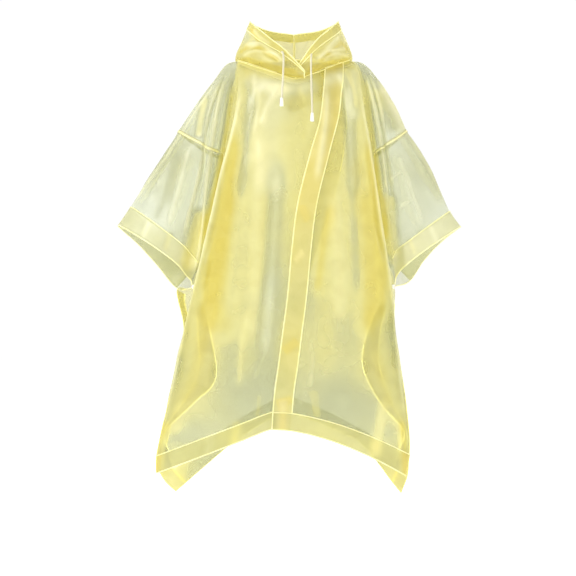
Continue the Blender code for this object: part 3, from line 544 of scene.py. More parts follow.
# Out from X = 0, y and z: of the ridge beside the chest, and of the fold line behind it. That line
# is the valley before the arm, then the weld of the sleeve, and below the underarm the free edge.
FRONT_SIDE = {
    "right": (
        ("neck", 0.113, -0.024, -0.006, 0.114, -0.014, -0.003),
        ("shoulder", 0.113, -0.034, -0.015, 0.117, -0.021, -0.011),
        ("collarbone", 0.111, -0.066, -0.063, 0.122, -0.036, -0.056),
        ("upper chest", 0.116, -0.084, -0.125, 0.131, -0.04, -0.12),
        ("arm seam", 0.137, -0.094, -0.214, 0.144, -0.042, -0.21),
        ("ribs", 0.162, -0.1, -0.314, 0.153, -0.046, -0.313),
        ("waist", 0.183, -0.102, -0.406, 0.174, -0.04, -0.406),
        ("underarm", 0.204, -0.098, -0.497, 0.212, -0.034, -0.499),
        ("slit", 0.214, -0.096, -0.545, 0.19, -0.03, -0.54),
        ("hip", 0.225, -0.093, -0.591, 0.177, -0.045, -0.582),
        ("thigh", 0.245, -0.089, -0.668, 0.162, -0.052, -0.698),
        ("above knee", 0.262, -0.084, -0.743, 0.208, -0.06, -0.75),
        ("knee", 0.278, -0.076, -0.817, 0.271, -0.066, -0.815),
        ("hem weld", 0.287, -0.07, -0.863, 0.263, -0.06, -0.854),
        ("hem", 0.288, -0.064, -0.901, 0.255, -0.052, -0.891),
    ),
    "left": (
        ("neck", 0.129, -0.024, -0.006, 0.13, -0.014, -0.003),
        ("shoulder", 0.141, -0.034, -0.014, 0.146, -0.021, -0.01),
        ("collarbone", 0.152, -0.066, -0.063, 0.163, -0.036, -0.056),
        ("upper chest", 0.16, -0.084, -0.125, 0.174, -0.04, -0.12),
        ("arm seam", 0.174, -0.094, -0.214, 0.182, -0.042, -0.21),
        ("ribs", 0.191, -0.1, -0.319, 0.183, -0.046, -0.315),
        ("waist", 0.205, -0.102, -0.41, 0.196, -0.04, -0.41),
        ("underarm", 0.216, -0.098, -0.497, 0.227, -0.036, -0.497),
        ("slit", 0.22, -0.096, -0.545, 0.195, -0.032, -0.54),
        ("hip", 0.224, -0.093, -0.591, 0.173, -0.045, -0.582),
        ("thigh", 0.237, -0.089, -0.668, 0.158, -0.052, -0.67),
        ("above knee", 0.248, -0.084, -0.743, 0.197, -0.06, -0.752),
        ("knee", 0.257, -0.076, -0.817, 0.247, -0.066, -0.813),
        ("hem weld", 0.257, -0.07, -0.86, 0.238, -0.06, -0.847),
        ("hem", 0.25, -0.064, -0.906, 0.228, -0.052, -0.886),
    ),
}
print("stations of each front:", len(FRONT_MIDDLE))

# %% The stations of the back
# The back, from nape to hem: x, y and z of its middle.
BACK_MIDDLE = (
    ("neck", 0.009, 0.078, 0.012),
    ("shoulder", 0.009, 0.084, 0),
    ("collarbone", 0.008, 0.106, -0.062),
    ("upper chest", 0.006, 0.12, -0.125),
    ("arm seam", 0.004, 0.128, -0.214),
    ("ribs", 0.002, 0.133, -0.316),
    ("waist", 0, 0.137, -0.408),
    ("underarm", -0.002, 0.14, -0.498),
    ("slit", -0.003, 0.142, -0.545),
    ("hip", -0.004, 0.144, -0.588),
    ("thigh", -0.006, 0.147, -0.652),
    ("above knee", -0.008, 0.149, -0.696),
    ("knee", -0.009, 0.15, -0.722),
    ("low", -0.01, 0.151, -0.738),
    ("hem weld", -0.01, 0.151, -0.752),
    ("hem", -0.01, 0.152, -0.79),
)
# As FRONT_SIDE. Below the underarm the second point is the back's free side edge.
BACK_SIDE = {
    "right": (
        ("neck", 0.113, 0.024, -0.004, 0.114, 0.014, -0.003),
        ("shoulder", 0.113, 0.034, -0.013, 0.117, 0.021, -0.011),
        ("collarbone", 0.113, 0.07, -0.062, 0.123, 0.038, -0.056),
        ("upper chest", 0.118, 0.088, -0.124, 0.132, 0.042, -0.119),
        ("arm seam", 0.137, 0.098, -0.213, 0.146, 0.046, -0.209),
        ("ribs", 0.158, 0.1, -0.315, 0.154, 0.05, -0.313),
        ("waist", 0.176, 0.098, -0.408, 0.175, 0.042, -0.406),
        ("underarm", 0.194, 0.09, -0.5, 0.213, -0.027, -0.5),
        ("slit", 0.202, 0.088, -0.54, 0.25, 0.012, -0.505),
        ("hip", 0.208, 0.086, -0.594, 0.236, 0.024, -0.588),
        ("thigh", 0.222, 0.084, -0.672, 0.252, 0.03, -0.68),
        ("above knee", 0.236, 0.082, -0.748, 0.272, 0.03, -0.762),
        ("knee", 0.238, 0.082, -0.802, 0.29, 0.028, -0.838),
        ("low", 0.212, 0.084, -0.826, 0.297, 0.023, -0.89),
        ("hem weld", 0.17, 0.088, -0.836, 0.281, 0.018, -0.925),
        ("hem", 0.147, 0.088, -0.867, 0.253, 0.012, -0.952),
    ),
    "left": (
        ("neck", 0.129, 0.024, -0.004, 0.13, 0.014, -0.003),
        ("shoulder", 0.14, 0.034, -0.012, 0.146, 0.021, -0.01),
        ("collarbone", 0.15, 0.07, -0.062, 0.162, 0.038, -0.056),
        ("upper chest", 0.158, 0.088, -0.124, 0.173, 0.042, -0.119),
        ("arm seam", 0.172, 0.098, -0.213, 0.182, 0.046, -0.209),
        ("ribs", 0.186, 0.1, -0.317, 0.184, 0.05, -0.315),
        ("waist", 0.196, 0.098, -0.41, 0.198, 0.042, -0.41),
        ("underarm", 0.204, 0.09, -0.5, 0.228, -0.029, -0.498),
        ("slit", 0.206, 0.088, -0.545, 0.232, 0.016, -0.538),
        ("hip", 0.208, 0.086, -0.592, 0.23, 0.024, -0.59),
        ("thigh", 0.214, 0.084, -0.672, 0.246, 0.03, -0.682),
        ("above knee", 0.222, 0.082, -0.748, 0.259, 0.03, -0.764),
        ("knee", 0.224, 0.082, -0.802, 0.266, 0.028, -0.838),
        ("low", 0.206, 0.084, -0.828, 0.264, 0.023, -0.884),
        ("hem weld", 0.182, 0.088, -0.834, 0.261, 0.018, -0.917),
        ("hem", 0.158, 0.088, -0.85, 0.246, 0.012, -0.956),
    ),
}
print("stations of the back:", len(BACK_MIDDLE))

# %% [markdown]
# The body and the upper arm are one piece of film, so the arm starts as a fold in the same sheet.
# Its stations run from the neck to the cuff. The first ones belong to the front and the back, and
# from the arm seam on they belong to the sleeve.

# %% The stations of the arms
# Out, y and z of two ridges and the dips beside them on the arm's front, and of the shoulder fold
# on top.
ARM_FRONT = {
    "right": (
        ("neck", 0.1142, -0.011, -0.0025, 0.1143, -0.008, -0.002, 0.1144, -0.006, -0.0015, 0.1146,
         -0.003, -0.001, 0.115, 0, -0.001),
        ("shoulder", 0.121, -0.02, -0.012, 0.126, -0.014, -0.01, 0.13, -0.012, -0.009, 0.133,
         -0.006, -0.007, 0.136, 0, -0.006),
        ("collarbone", 0.142, -0.05, -0.06, 0.149, -0.041, -0.059, 0.154, -0.044, -0.058, 0.16,
         -0.032, -0.054, 0.169, 0, -0.046),
        ("upper chest", 0.157, -0.064, -0.118, 0.167, -0.052, -0.116, 0.174, -0.055, -0.114,
         0.186, -0.045, -0.108, 0.207, 0, -0.096),
        ("arm seam", 0.175, -0.068, -0.2, 0.185, -0.054, -0.194, 0.192, -0.058, -0.189, 0.215,
         -0.046, -0.176, 0.246, 0, -0.156),
        ("upper sleeve", 0.179, -0.068, -0.278, 0.189, -0.056, -0.271, 0.199, -0.062, -0.267,
         0.235, -0.05, -0.243, 0.285, 0, -0.217),
        ("mid sleeve", 0.188, -0.064, -0.379, 0.201, -0.056, -0.37, 0.216, -0.064, -0.359, 0.263,
         -0.054, -0.32, 0.323, 0, -0.277),
        ("cuff weld", 0.2, -0.052, -0.445, 0.214, -0.054, -0.429, 0.229, -0.064, -0.411, 0.286,
         -0.056, -0.366, 0.352, 0, -0.323),
        ("cuff", 0.215, -0.034, -0.486, 0.226, -0.046, -0.474, 0.244, -0.06, -0.45, 0.306, -0.056,
         -0.404, 0.379, 0, -0.364),
    ),
    "left": (
        ("neck", 0.1302, -0.011, -0.0025, 0.1303, -0.008, -0.002, 0.1304, -0.006, -0.0015, 0.1306,
         -0.003, -0.001, 0.131, 0, -0.001),
        ("shoulder", 0.149, -0.02, -0.011, 0.152, -0.014, -0.009, 0.155, -0.012, -0.008, 0.158,
         -0.006, -0.007, 0.16, 0, -0.006),
        ("collarbone", 0.171, -0.05, -0.056, 0.177, -0.041, -0.054, 0.182, -0.044, -0.053, 0.187,
         -0.032, -0.05, 0.196, 0, -0.043),
        ("upper chest", 0.183, -0.064, -0.118, 0.19, -0.052, -0.115, 0.195, -0.055, -0.113, 0.208,
         -0.045, -0.106, 0.229, 0, -0.096),
        ("arm seam", 0.197, -0.068, -0.2, 0.204, -0.054, -0.195, 0.21, -0.058, -0.19, 0.23,
         -0.046, -0.177, 0.257, 0, -0.155),
        ("upper sleeve", 0.206, -0.068, -0.278, 0.215, -0.056, -0.273, 0.225, -0.062, -0.267,
         0.257, -0.05, -0.243, 0.297, 0, -0.217),
        ("mid sleeve", 0.215, -0.064, -0.379, 0.224, -0.056, -0.372, 0.238, -0.064, -0.362, 0.278,
         -0.054, -0.324, 0.326, 0, -0.277),
        ("cuff weld", 0.222, -0.052, -0.437, 0.233, -0.054, -0.418, 0.25, -0.064, -0.405, 0.294,
         -0.056, -0.372, 0.352, 0, -0.333),
        ("cuff", 0.23, -0.036, -0.481, 0.237, -0.046, -0.468, 0.253, -0.06, -0.45, 0.303, -0.056,
         -0.412, 0.376, 0, -0.367),
    ),
}
# Out, y and z of three lines on the arm's back, from the top of the arm down.
ARM_BACK = {
    "right": (
        ("neck", 0.1146, 0.003, -0.001, 0.1144, 0.007, -0.002, 0.1142, 0.011, -0.0025),
        ("shoulder", 0.132, 0.007, -0.007, 0.127, 0.013, -0.009, 0.122, 0.018, -0.011),
        ("collarbone", 0.16, 0.032, -0.054, 0.15, 0.045, -0.059, 0.138, 0.05, -0.061),
        ("upper chest", 0.186, 0.045, -0.108, 0.17, 0.058, -0.117, 0.152, 0.06, -0.121),
        ("arm seam", 0.215, 0.048, -0.177, 0.19, 0.062, -0.194, 0.166, 0.06, -0.205),
        ("upper sleeve", 0.24, 0.052, -0.24, 0.199, 0.064, -0.268, 0.172, 0.058, -0.285),
        ("mid sleeve", 0.278, 0.056, -0.32, 0.23, 0.066, -0.363, 0.194, 0.054, -0.388),
        ("cuff weld", 0.314, 0.057, -0.368, 0.267, 0.062, -0.419, 0.222, 0.04, -0.462),
        ("cuff", 0.341, 0.054, -0.403, 0.302, 0.058, -0.446, 0.252, 0.036, -0.502),
    ),
    "left": (
        ("neck", 0.1306, 0.003, -0.001, 0.1304, 0.007, -0.002, 0.1302, 0.011, -0.0025),
        ("shoulder", 0.157, 0.007, -0.007, 0.154, 0.013, -0.009, 0.15, 0.018, -0.01),
        ("collarbone", 0.187, 0.032, -0.05, 0.179, 0.045, -0.055, 0.17, 0.05, -0.058),
        ("upper chest", 0.208, 0.045, -0.106, 0.194, 0.058, -0.115, 0.182, 0.06, -0.12),
        ("arm seam", 0.23, 0.048, -0.177, 0.211, 0.062, -0.192, 0.194, 0.06, -0.203),
        ("upper sleeve", 0.262, 0.052, -0.24, 0.225, 0.064, -0.268, 0.202, 0.058, -0.283),
        ("mid sleeve", 0.292, 0.056, -0.32, 0.25, 0.066, -0.358, 0.216, 0.054, -0.386),
        ("cuff weld", 0.317, 0.057, -0.368, 0.276, 0.062, -0.412, 0.238, 0.04, -0.45),
        ("cuff", 0.343, 0.054, -0.395, 0.303, 0.058, -0.437, 0.268, 0.036, -0.485),
    ),
}
print("stations of each arm:", len(ARM_FRONT["right"]))

# %% [markdown]
# ## From stations to a fine grid
# The coarse solid has a point every four centimetres. A crease in thin film is a centimetre wide,
# so the same stations are cut into steps of about four millimetres here. The functions below are
# the panel maker's rules: how a section bulges, how it turns round its ridge, and how the arm's
# sheet takes up the body's fold lines.

# %% Helpers for the sections of the fronts and the back
DEPTH_POWER = 2.4  # how a section's depth falls off, and then its height, at the neck and the hem
NECK_POWER = 1.25
HEM_POWER = {"right": 1.05, "left": 1.65}
BACK_POWER = 1.25
TURN_SHARE = 0.2  # of the way from the ridge to the fold line
TURN_DEPTH = 0.012
SNAP_ROW = 7
SNAP_CORNER = 0.022
SNAP_CORNER_TURN = {"front": -0.010, "back": 0.003}


def points_of(row):
    """The points of a table's row, after its name."""
    return np.array(row[1:], dtype=float).reshape(-1, 3)


def side_points(row, side):
    return points_of(row) * (SIDES[side], 1, 1)


def unit(vectors):
    return vectors / np.maximum(np.linalg.norm(vectors, axis=-1, keepdims=True), 1e-12)


def section_point(x, middle, sides, height_powers):
    """The point at x of a section that is furthest out at its middle and falls to its ridges."""
    mid_x, mid_y, mid_z = middle
    side = "left" if x > mid_x else "right"
    ridge_x = SIDES[side] * sides[side][0]
    share = abs((x - mid_x) / (ridge_x - mid_x))
    y = mid_y + (sides[side][1] - mid_y) * share**DEPTH_POWER
    z = mid_z + (sides[side][2] - mid_z) * share ** height_powers[side]
    return np.array((x, y, z))


def behind_ridge(k, which, ridge, fold):
    """Where row k has turned round its ridge, on its way to the fold line."""
    if k == SNAP_ROW:
        return fold + (-np.sign(fold[0]) * SNAP_CORNER, SNAP_CORNER_TURN[which], 0.0)
    point = ridge + (fold - ridge) * TURN_SHARE
    turned = min(TURN_DEPTH, 0.4 * abs(fold[1] - ridge[1]))
    point[1] = ridge[1] + np.sign(fold[1] - ridge[1]) * turned
    return point


# %% [markdown]
# Both fronts share one curve across the chest, and the left one lies a few millimetres before it
# where the two overlap. The back is one sheet from side to side.

# %% The named points of the fronts and the back
PLACKET_WIDTH = 0.040
SIDE_BAND_WIDTH = 0.032
LAP = 0.007  # how far the left front lies before the right one
LAP_FADE = 0.030
FRONT_SHARES = {"right": (0.30, 0.58, 0.82), "left": (0.33, 0.62, 0.84)}  # of the way to the ridge
BACK_SHARES = (0.28, 0.55, 0.80)


def front_controls(side):
    """The front's rows of named points, from its free edge to its fold line."""
    rows = []
    for k, (_, mid_x, mid_y, mid_z, edge_x, under_x) in enumerate(FRONT_MIDDLE):
        ridges = {s: FRONT_SIDE[s][k][1:4] for s in SIDES}
        ridge, fold = side_points(FRONT_SIDE[side][k], side)
        if side == "right":
            places = [under_x, (under_x + mid_x) / 2, mid_x]
        else:
            places = [edge_x, edge_x + PLACKET_WIDTH]
        begin = places[-1]
        places += [begin + (ridge[0] - begin) * share for share in FRONT_SHARES[side]]
        down = k / (len(FRONT_MIDDLE) - 1)
        powers = {s: NECK_POWER + (HEM_POWER[s] - NECK_POWER) * down for s in SIDES}
        points = [section_point(x, (mid_x, mid_y, mid_z), ridges, powers) for x in places]
        if side == "left":
            for point in points:
                past = (under_x + LAP_FADE - point[0]) / LAP_FADE
                point[1] -= LAP * min(max(past, 0.0), 1.0)
        rows.append(points + [ridge, behind_ridge(k, "front", ridge, fold), fold])
    return rows


def back_controls():
    """The back's rows, from the wearer's right fold line through the middle to the left one."""
    rows = []
    for k, middle_row in enumerate(BACK_MIDDLE):
        mid = np.array(middle_row[1:])
        ridges = {s: BACK_SIDE[s][k][1:4] for s in SIDES}
        powers = dict.fromkeys(SIDES, BACK_POWER)
        ends = {}
        for side in SIDES:
            ridge, fold = side_points(BACK_SIDE[side][k], side)
            reach = ridge[0] - mid[0]
            places = [mid[0] + reach * share for share in BACK_SHARES]
            points = [section_point(x, mid, ridges, powers) for x in places]
            if k <= SNAP_ROW:
                turned_point = behind_ridge(k, "back", ridge, fold)
            else:
                turned_point = fold + unit(ridge - fold) * SIDE_BAND_WIDTH
            ends[side] = points + [ridge, turned_point, fold]
        rows.append(ends["right"][::-1] + [mid] + ends["left"])
    return rows


print("points of a front's row:", {side: len(front_controls(side)[0]) for side in SIDES})

# %% [markdown]
# The number of steps between two named points says how fine the grid is there.

# %% Cut the panels into fine grids
ACROSS, DOWN = ((9, 8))
FRONT_ROW_STEPS = (1, 1, 1, 2, 2, 2, 2, 1, 1, 2, 2, 2, 1, 1)
BACK_ROW_STEPS = (1, 1, 1, 2, 2, 2, 2, 1, 1, 2, 2, 1, 1, 1, 1)
FRONT_COLUMN_STEPS = {"right": (1, 1, 2, 1, 1, 1, 1, 2), "left": (2, 1, 1, 1, 1, 1, 2)}
BACK_HALF_STEPS = (2, 1, 2, 1, 1, 2)
ARM_ROWS = 5  # that belong to the front and the back
ARM_ROW_STEPS = (1, 1, 1, 2, 2, 2, 2, 1)
BODY_ARM_STEPS = ARM_ROW_STEPS[: ARM_ROWS - 1]
ARM_FRONT_STEPS = (1, 1, 1, 2, 2)
ARM_BACK_STEPS = (2, 2, 1, 1)


def finer(steps, factor):
    return tuple(step * factor for step in steps)


def panel_grid(controls, column_steps, row_steps):
    rows = np.array([smooth(row, finer(column_steps, ACROSS)) for row in controls])
    return smooth(rows, finer(row_steps, DOWN))


def arm_grid(side, front_grid, back_grid):
    """The whole arm from neck to cuff, from the front's fold line over the top to the back's."""
    body_rows = sum(BODY_ARM_STEPS) * DOWN
    sleeve_rows = sum(ARM_ROW_STEPS) * DOWN - body_rows
    rows = []
    for front_row, back_row in zip(ARM_FRONT[side], ARM_BACK[side]):
        rows.append(np.vstack([side_points(front_row, side), side_points(back_row, side)]))
    inner = []
    for grid, row_steps in ((front_grid, FRONT_ROW_STEPS), (back_grid, BACK_ROW_STEPS)):
        start = sum(row_steps[: ARM_ROWS - 1]) * DOWN
        end = sum(row_steps[: ARM_ROWS + 2]) * DOWN
        inner.append(evenly(grid[start : end + 1, -1], sleeve_rows + 1))
    steps = finer(ARM_FRONT_STEPS + ARM_BACK_STEPS, ACROSS)
    result = []
    for r, line in enumerate(smooth(np.array(rows), finer(ARM_ROW_STEPS, DOWN))):
        if r <= body_rows:
            first, last = front_grid[r, -1], back_grid[r, -1]
        else:
            first, last = inner[0][r - body_rows], inner[1][r - body_rows]
        result.append(smooth(np.vstack([first, line, last]), steps))
    return np.array(result)


fronts, halves, arms = {}, {}, {}
back = panel_grid(back_controls(), BACK_HALF_STEPS[::-1] + BACK_HALF_STEPS, BACK_ROW_STEPS)
MIDDLE = sum(BACK_HALF_STEPS) * ACROSS
for side in SIDES:
    fronts[side] = panel_grid(front_controls(side), FRONT_COLUMN_STEPS[side], FRONT_ROW_STEPS)
    halves[side] = back[:, MIDDLE::-1] if side == "right" else back[:, MIDDLE:]
    arms[side] = arm_grid(side, fronts[side], halves[side])
    print(side, "front", fronts[side].shape[:2], "arm", arms[side].shape[:2])
print("back", back.shape[:2])

# %% [markdown]
# ## Creases
# Thin film doesn't hang in even waves. It keeps fold marks from its packing, it is pulled into
# radiating creases at the neck and the underarm, and it buckles where it meets a stiff weld. Each
# crease below is one soft trough or ridge: a line from one place to another, its half width and
# its height, where a minus is a trough. It fades at both ends, and towards the panel's borders.

# %% The folds of the fronts
# Each row: a name, the half width, the height, how dense and how bleached the film is there, then
# the x and z of the places that the fold runs through. Density in troughs and valleys is painted
# shade, and bleaching on ridges and pale patches a painted highlight.
FRONT_FOLDS = {
    "right": (
        ("golden fold by the ridge", 0.017, -0.003, 0.6, 0, -0.115, -0.143, -0.134, -0.282,
         -0.156, -0.399, -0.173, -0.517, -0.169, -0.602),
        ("ridge, bright", 0.0045, 0.0015, 0, 0.85, -0.111, -0.027, -0.109, -0.057, -0.111, -0.099,
         -0.126, -0.172, -0.152, -0.271, -0.176, -0.377, -0.214, -0.527, -0.246, -0.677, -0.272,
         -0.805),
        # Paler over the breast: a painted highlight.
        ("painted highlight, breast", 0.034, 0, -0.1, 0.55, -0.021, -0.039, -0.03, -0.092, -0.043, -0.156,
         -0.047, -0.23, -0.038, -0.326),
        ("milky yoke", 0.017, 0, -0.22, 0.65, -0.106, -0.043, -0.072, -0.06, -0.021, -0.077,
         0.034, -0.072, 0.068, -0.06),
        ("soft fold, chest to hip", 0.013, 0.005, 0.08, 0.3, -0.055, -0.145, -0.062, -0.251,
         -0.068, -0.379, -0.074, -0.527, -0.085, -0.654),
        ("trough beside it", 0.012, -0.004, -0.28, 0, -0.096, -0.026, -0.094, -0.06, -0.085,
         -0.091, -0.096, -0.187, -0.109, -0.315, -0.119, -0.442, -0.136, -0.591),
        ("trough by the front edge", 0.016, -0.0035, -0.28, 0, -0.023, -0.209, -0.032, -0.358,
         -0.043, -0.506, -0.055, -0.675),
        ("crease from the neck", 0.007, -0.002, 0.15, 0, 0.017, -0.06, 0.025, -0.103, 0.032,
         -0.149, 0.027, -0.2),
        ("crease under the hood", 0.006, 0.0015, 0, 0.3, -0.017, -0.068, -0.043, -0.111, -0.06,
         -0.162),
        ("pulled crease, shoulder", 0.005, 0.0014, 0, 0.3, -0.073, -0.032, -0.081, -0.079, -0.092,
         -0.139),
        ("pleat over the thigh", 0.008, 0.0018, 0.15, 0.15, -0.085, -0.538, -0.1, -0.612, -0.108,
         -0.721),
        ("low swell", 0.026, 0.005, 0.05, 0, -0.145, -0.591, -0.175, -0.698, -0.201, -0.794),
        ("doubled by the turned-in margin", 0.024, 0, 0.4, 0.15, -0.177, -0.517, -0.185, -0.614,
         -0.211, -0.7, -0.246, -0.775, -0.274, -0.829),
        ("golden flank", 0.026, 0, 0.36, 0, -0.111, -0.272, -0.128, -0.4, -0.14, -0.527, -0.132,
         -0.633),
        ("doubled corner of the hem", 0.013, 0, 0.6, 0.1, -0.266, -0.776, -0.281, -0.843, -0.292,
         -0.943),
        ("hem buckle", 0.008, 0.0016, 0, 0.2, -0.163, -0.801, -0.176, -0.853, -0.184, -0.887),
        ("hem buckle 2", 0.007, -0.0014, 0.2, 0, -0.111, -0.778, -0.119, -0.825, -0.126, -0.85),
    ),
    "left": (
        ("golden fold by the ridge", 0.016, -0.0025, 0.6, 0, 0.166, -0.165, 0.181, -0.282, 0.19,
         -0.41, 0.194, -0.517, 0.19, -0.591),
        ("ridge, bright", 0.004, 0.0015, 0, 0.75, 0.15, -0.027, 0.154, -0.091, 0.169, -0.181,
         0.182, -0.266, 0.197, -0.377, 0.207, -0.422, 0.22, -0.529, 0.237, -0.698, 0.248, -0.805),
        ("deep fold from the neck", 0.014, -0.005, 0.12, 0, 0.093, -0.043, 0.098, -0.102, 0.091,
         -0.187, 0.083, -0.283, 0.078, -0.346),
        ("fold beside it", 0.007, 0.0032, 0, 0.5, 0.078, -0.065, 0.076, -0.135, 0.066, -0.209,
         0.055, -0.283),
        ("soft fold, chest to thigh", 0.015, 0.0055, 0.22, 0.35, 0.087, -0.273, 0.095, -0.368,
         0.104, -0.463, 0.108, -0.58),
        ("trough over the hip", 0.013, -0.0045, -0.36, 0, 0.127, -0.03, 0.127, -0.113, 0.134,
         -0.251, 0.142, -0.4, 0.146, -0.548),
        ("pulled crease, collar", 0.006, 0.0016, 0, 0.45, 0.102, -0.037, 0.119, -0.084, 0.126,
         -0.126),
        ("pulled crease, shoulder", 0.005, -0.0014, 0.3, 0, 0.122, -0.027, 0.137, -0.074, 0.141,
         -0.121),
        ("fine crease, knee", 0.0045, 0.0008, 0, 0.25, 0.044, -0.601, 0.046, -0.675, 0.036,
         -0.717, 0.008, -0.766),
        ("doubled by the turned-in margin", 0.022, 0, 0.36, 0.1, 0.187, -0.517, 0.179, -0.614,
         0.2, -0.7, 0.233, -0.775, 0.25, -0.82),
        ("golden flank", 0.024, 0, 0.36, 0, 0.144, -0.272, 0.157, -0.4, 0.166, -0.527, 0.161,
         -0.623),
        ("shade beside the placket", 0.012, -0.0015, 0.45, 0, 0.091, -0.315, 0.074, -0.389, 0.063,
         -0.463, 0.055, -0.527),
        ("doubled corner of the hem", 0.011, 0, 0.6, 0.1, 0.238, -0.776, 0.246, -0.843, 0.249,
         -0.938),
        ("light pleat, side of the hem", 0.01, 0.0022, 0.35, 0.3, 0.21, -0.725, 0.197, -0.768,
         0.187, -0.819, 0.178, -0.867),
        ("low swell", 0.026, 0.005, 0, 0, 0.128, -0.591, 0.141, -0.698, 0.153, -0.794),
        # Paler over the breast: a painted highlight.
        ("painted highlight, breast", 0.022, 0, 0, 0.3, 0.068, -0.043, 0.051, -0.092, 0.04, -0.156, 0.03,
         -0.241),
        ("milky shoulder", 0.015, 0, -0.2, 0.55, 0.137, -0.014, 0.135, -0.057, 0.133, -0.099,
         0.137, -0.151),
        ("doubled lap of the hem", 0.011, 0, 0.5, 0.35, -0.015, -0.73, -0.015, -0.763, -0.017,
         -0.827),
        ("milky yoke", 0.015, 0, -0.18, 0.5, 0.013, -0.068, 0.047, -0.068, 0.085, -0.055, 0.127,
         -0.038),
        ("placket buckle, chest", 0.007, -0.0013, 0.3, 0, 0.023, -0.326, 0.038, -0.362),
        ("placket buckle, waist", 0.007, 0.0013, 0.2, 0.3, 0.008, -0.447, 0.029, -0.421),
        ("placket buckle, thigh", 0.008, -0.0013, 0.35, 0, -0.015, -0.637, 0.017, -0.611),
        ("placket buckle, hem", 0.008, -0.0013, 0.35, 0, -0.03, -0.746, 0.006, -0.734),
    ),
}
print("folds on the fronts:", {side: len(FRONT_FOLDS[side]) for side in SIDES})

# %% The folds of the arms, seen from the front
# Density in valleys and gathers is painted shade; bleaching on ridges and lines a painted
# highlight.
ARM_FOLDS = {
    "right": (
        ("deep valley by the body", 0.01, -0.001, 0.95, 0, -0.117, -0.035, -0.123, -0.095, -0.136,
         -0.182, -0.154, -0.268, -0.173, -0.344, -0.19, -0.43),
        ("front ridge, bright", 0.0046, 0.003, 0.2, 0.85, -0.121, -0.024, -0.145, -0.061, -0.156,
         -0.108, -0.167, -0.182, -0.173, -0.229, -0.184, -0.311, -0.19, -0.376, -0.208, -0.495),
        ("second ridge, bright", 0.0044, 0.0026, 0.2, 0.7, -0.141, -0.022, -0.158, -0.069, -0.177,
         -0.13, -0.184, -0.19, -0.199, -0.268, -0.223, -0.363, -0.231, -0.413),
        ("yellow gather above the seam", 0.01, -0.0008, 0.45, 0.25, -0.183, -0.075, -0.194,
         -0.132, -0.2, -0.184),
        ("line beside the top fold", 0.0032, 0.0012, 0.1, 0.85, -0.15, -0.04, -0.189, -0.088,
         -0.237, -0.161, -0.295, -0.247, -0.356, -0.33),
        ("milky top", 0.011, 0, 0, 0.22, -0.148, -0.036, -0.172, -0.075, -0.192, -0.119, -0.205,
         -0.153),
        ("soft streak, elbow", 0.009, 0.0036, 0, 0.45, -0.217, -0.185, -0.236, -0.267, -0.265,
         -0.38),
        ("trough beside it", 0.011, -0.0034, -0.1, 0, -0.248, -0.193, -0.276, -0.28, -0.309,
         -0.362),
        ("gather by the underarm", 0.017, -0.0016, 0.55, 0, -0.187, -0.322, -0.208, -0.397,
         -0.228, -0.473),
        ("cuff buckle", 0.006, 0.0013, 0, 0.3, -0.304, -0.352, -0.319, -0.397),
        ("cuff buckle 2", 0.006, -0.0012, 0.3, 0, -0.256, -0.378, -0.271, -0.424),
    ),
    "left": (
        ("deep valley by the body", 0.008, -0.001, 0.95, 0, 0.158, -0.035, 0.164, -0.095, 0.177,
         -0.182, 0.188, -0.268, 0.199, -0.344, 0.207, -0.43),
        ("front ridge, bright", 0.0042, 0.0026, 0.2, 0.8, 0.16, -0.022, 0.184, -0.117, 0.197,
         -0.195, 0.212, -0.324),
        ("second ridge, bright", 0.0042, 0.0022, 0.2, 0.6, 0.166, -0.02, 0.192, -0.095, 0.207,
         -0.19, 0.225, -0.311),
        ("yellow gather on the shoulder", 0.017, -0.0008, 0.28, 0.15, 0.189, -0.06, 0.209, -0.114,
         0.233, -0.166),
        ("line beside the top fold", 0.01, 0.0016, 0.2, 0.6, 0.18, -0.027, 0.226, -0.101, 0.268,
         -0.176, 0.312, -0.249, 0.358, -0.335),
        ("soft streak, elbow", 0.008, 0.0034, 0, 0.4, 0.23, -0.198, 0.256, -0.278, 0.291, -0.371),
        ("trough beside it", 0.01, -0.0032, -0.1, 0, 0.257, -0.193, 0.285, -0.267, 0.318, -0.345),
        ("gather by the underarm", 0.015, -0.0015, 0.5, 0, 0.21, -0.289, 0.217, -0.365, 0.226,
         -0.445),
        ("milky top", 0.011, 0, 0, 0.5, 0.187, -0.036, 0.213, -0.084, 0.237, -0.14, 0.252, -0.179),
        ("fine crease, elbow", 0.004, 0.001, 0, 0.5, 0.219, -0.27, 0.23, -0.256, 0.241, -0.252),
        ("fine crease, forearm", 0.004, 0.001, 0, 0.5, 0.236, -0.328, 0.247, -0.319, 0.26, -0.311),
        ("cuff buckle", 0.006, 0.0013, 0, 0.3, 0.304, -0.365, 0.319, -0.408),
        ("cuff buckle 2", 0.006, -0.0012, 0.3, 0, 0.256, -0.393, 0.271, -0.432),
    ),
}
print("folds on the arms:", {side: len(ARM_FOLDS[side]) for side in SIDES})
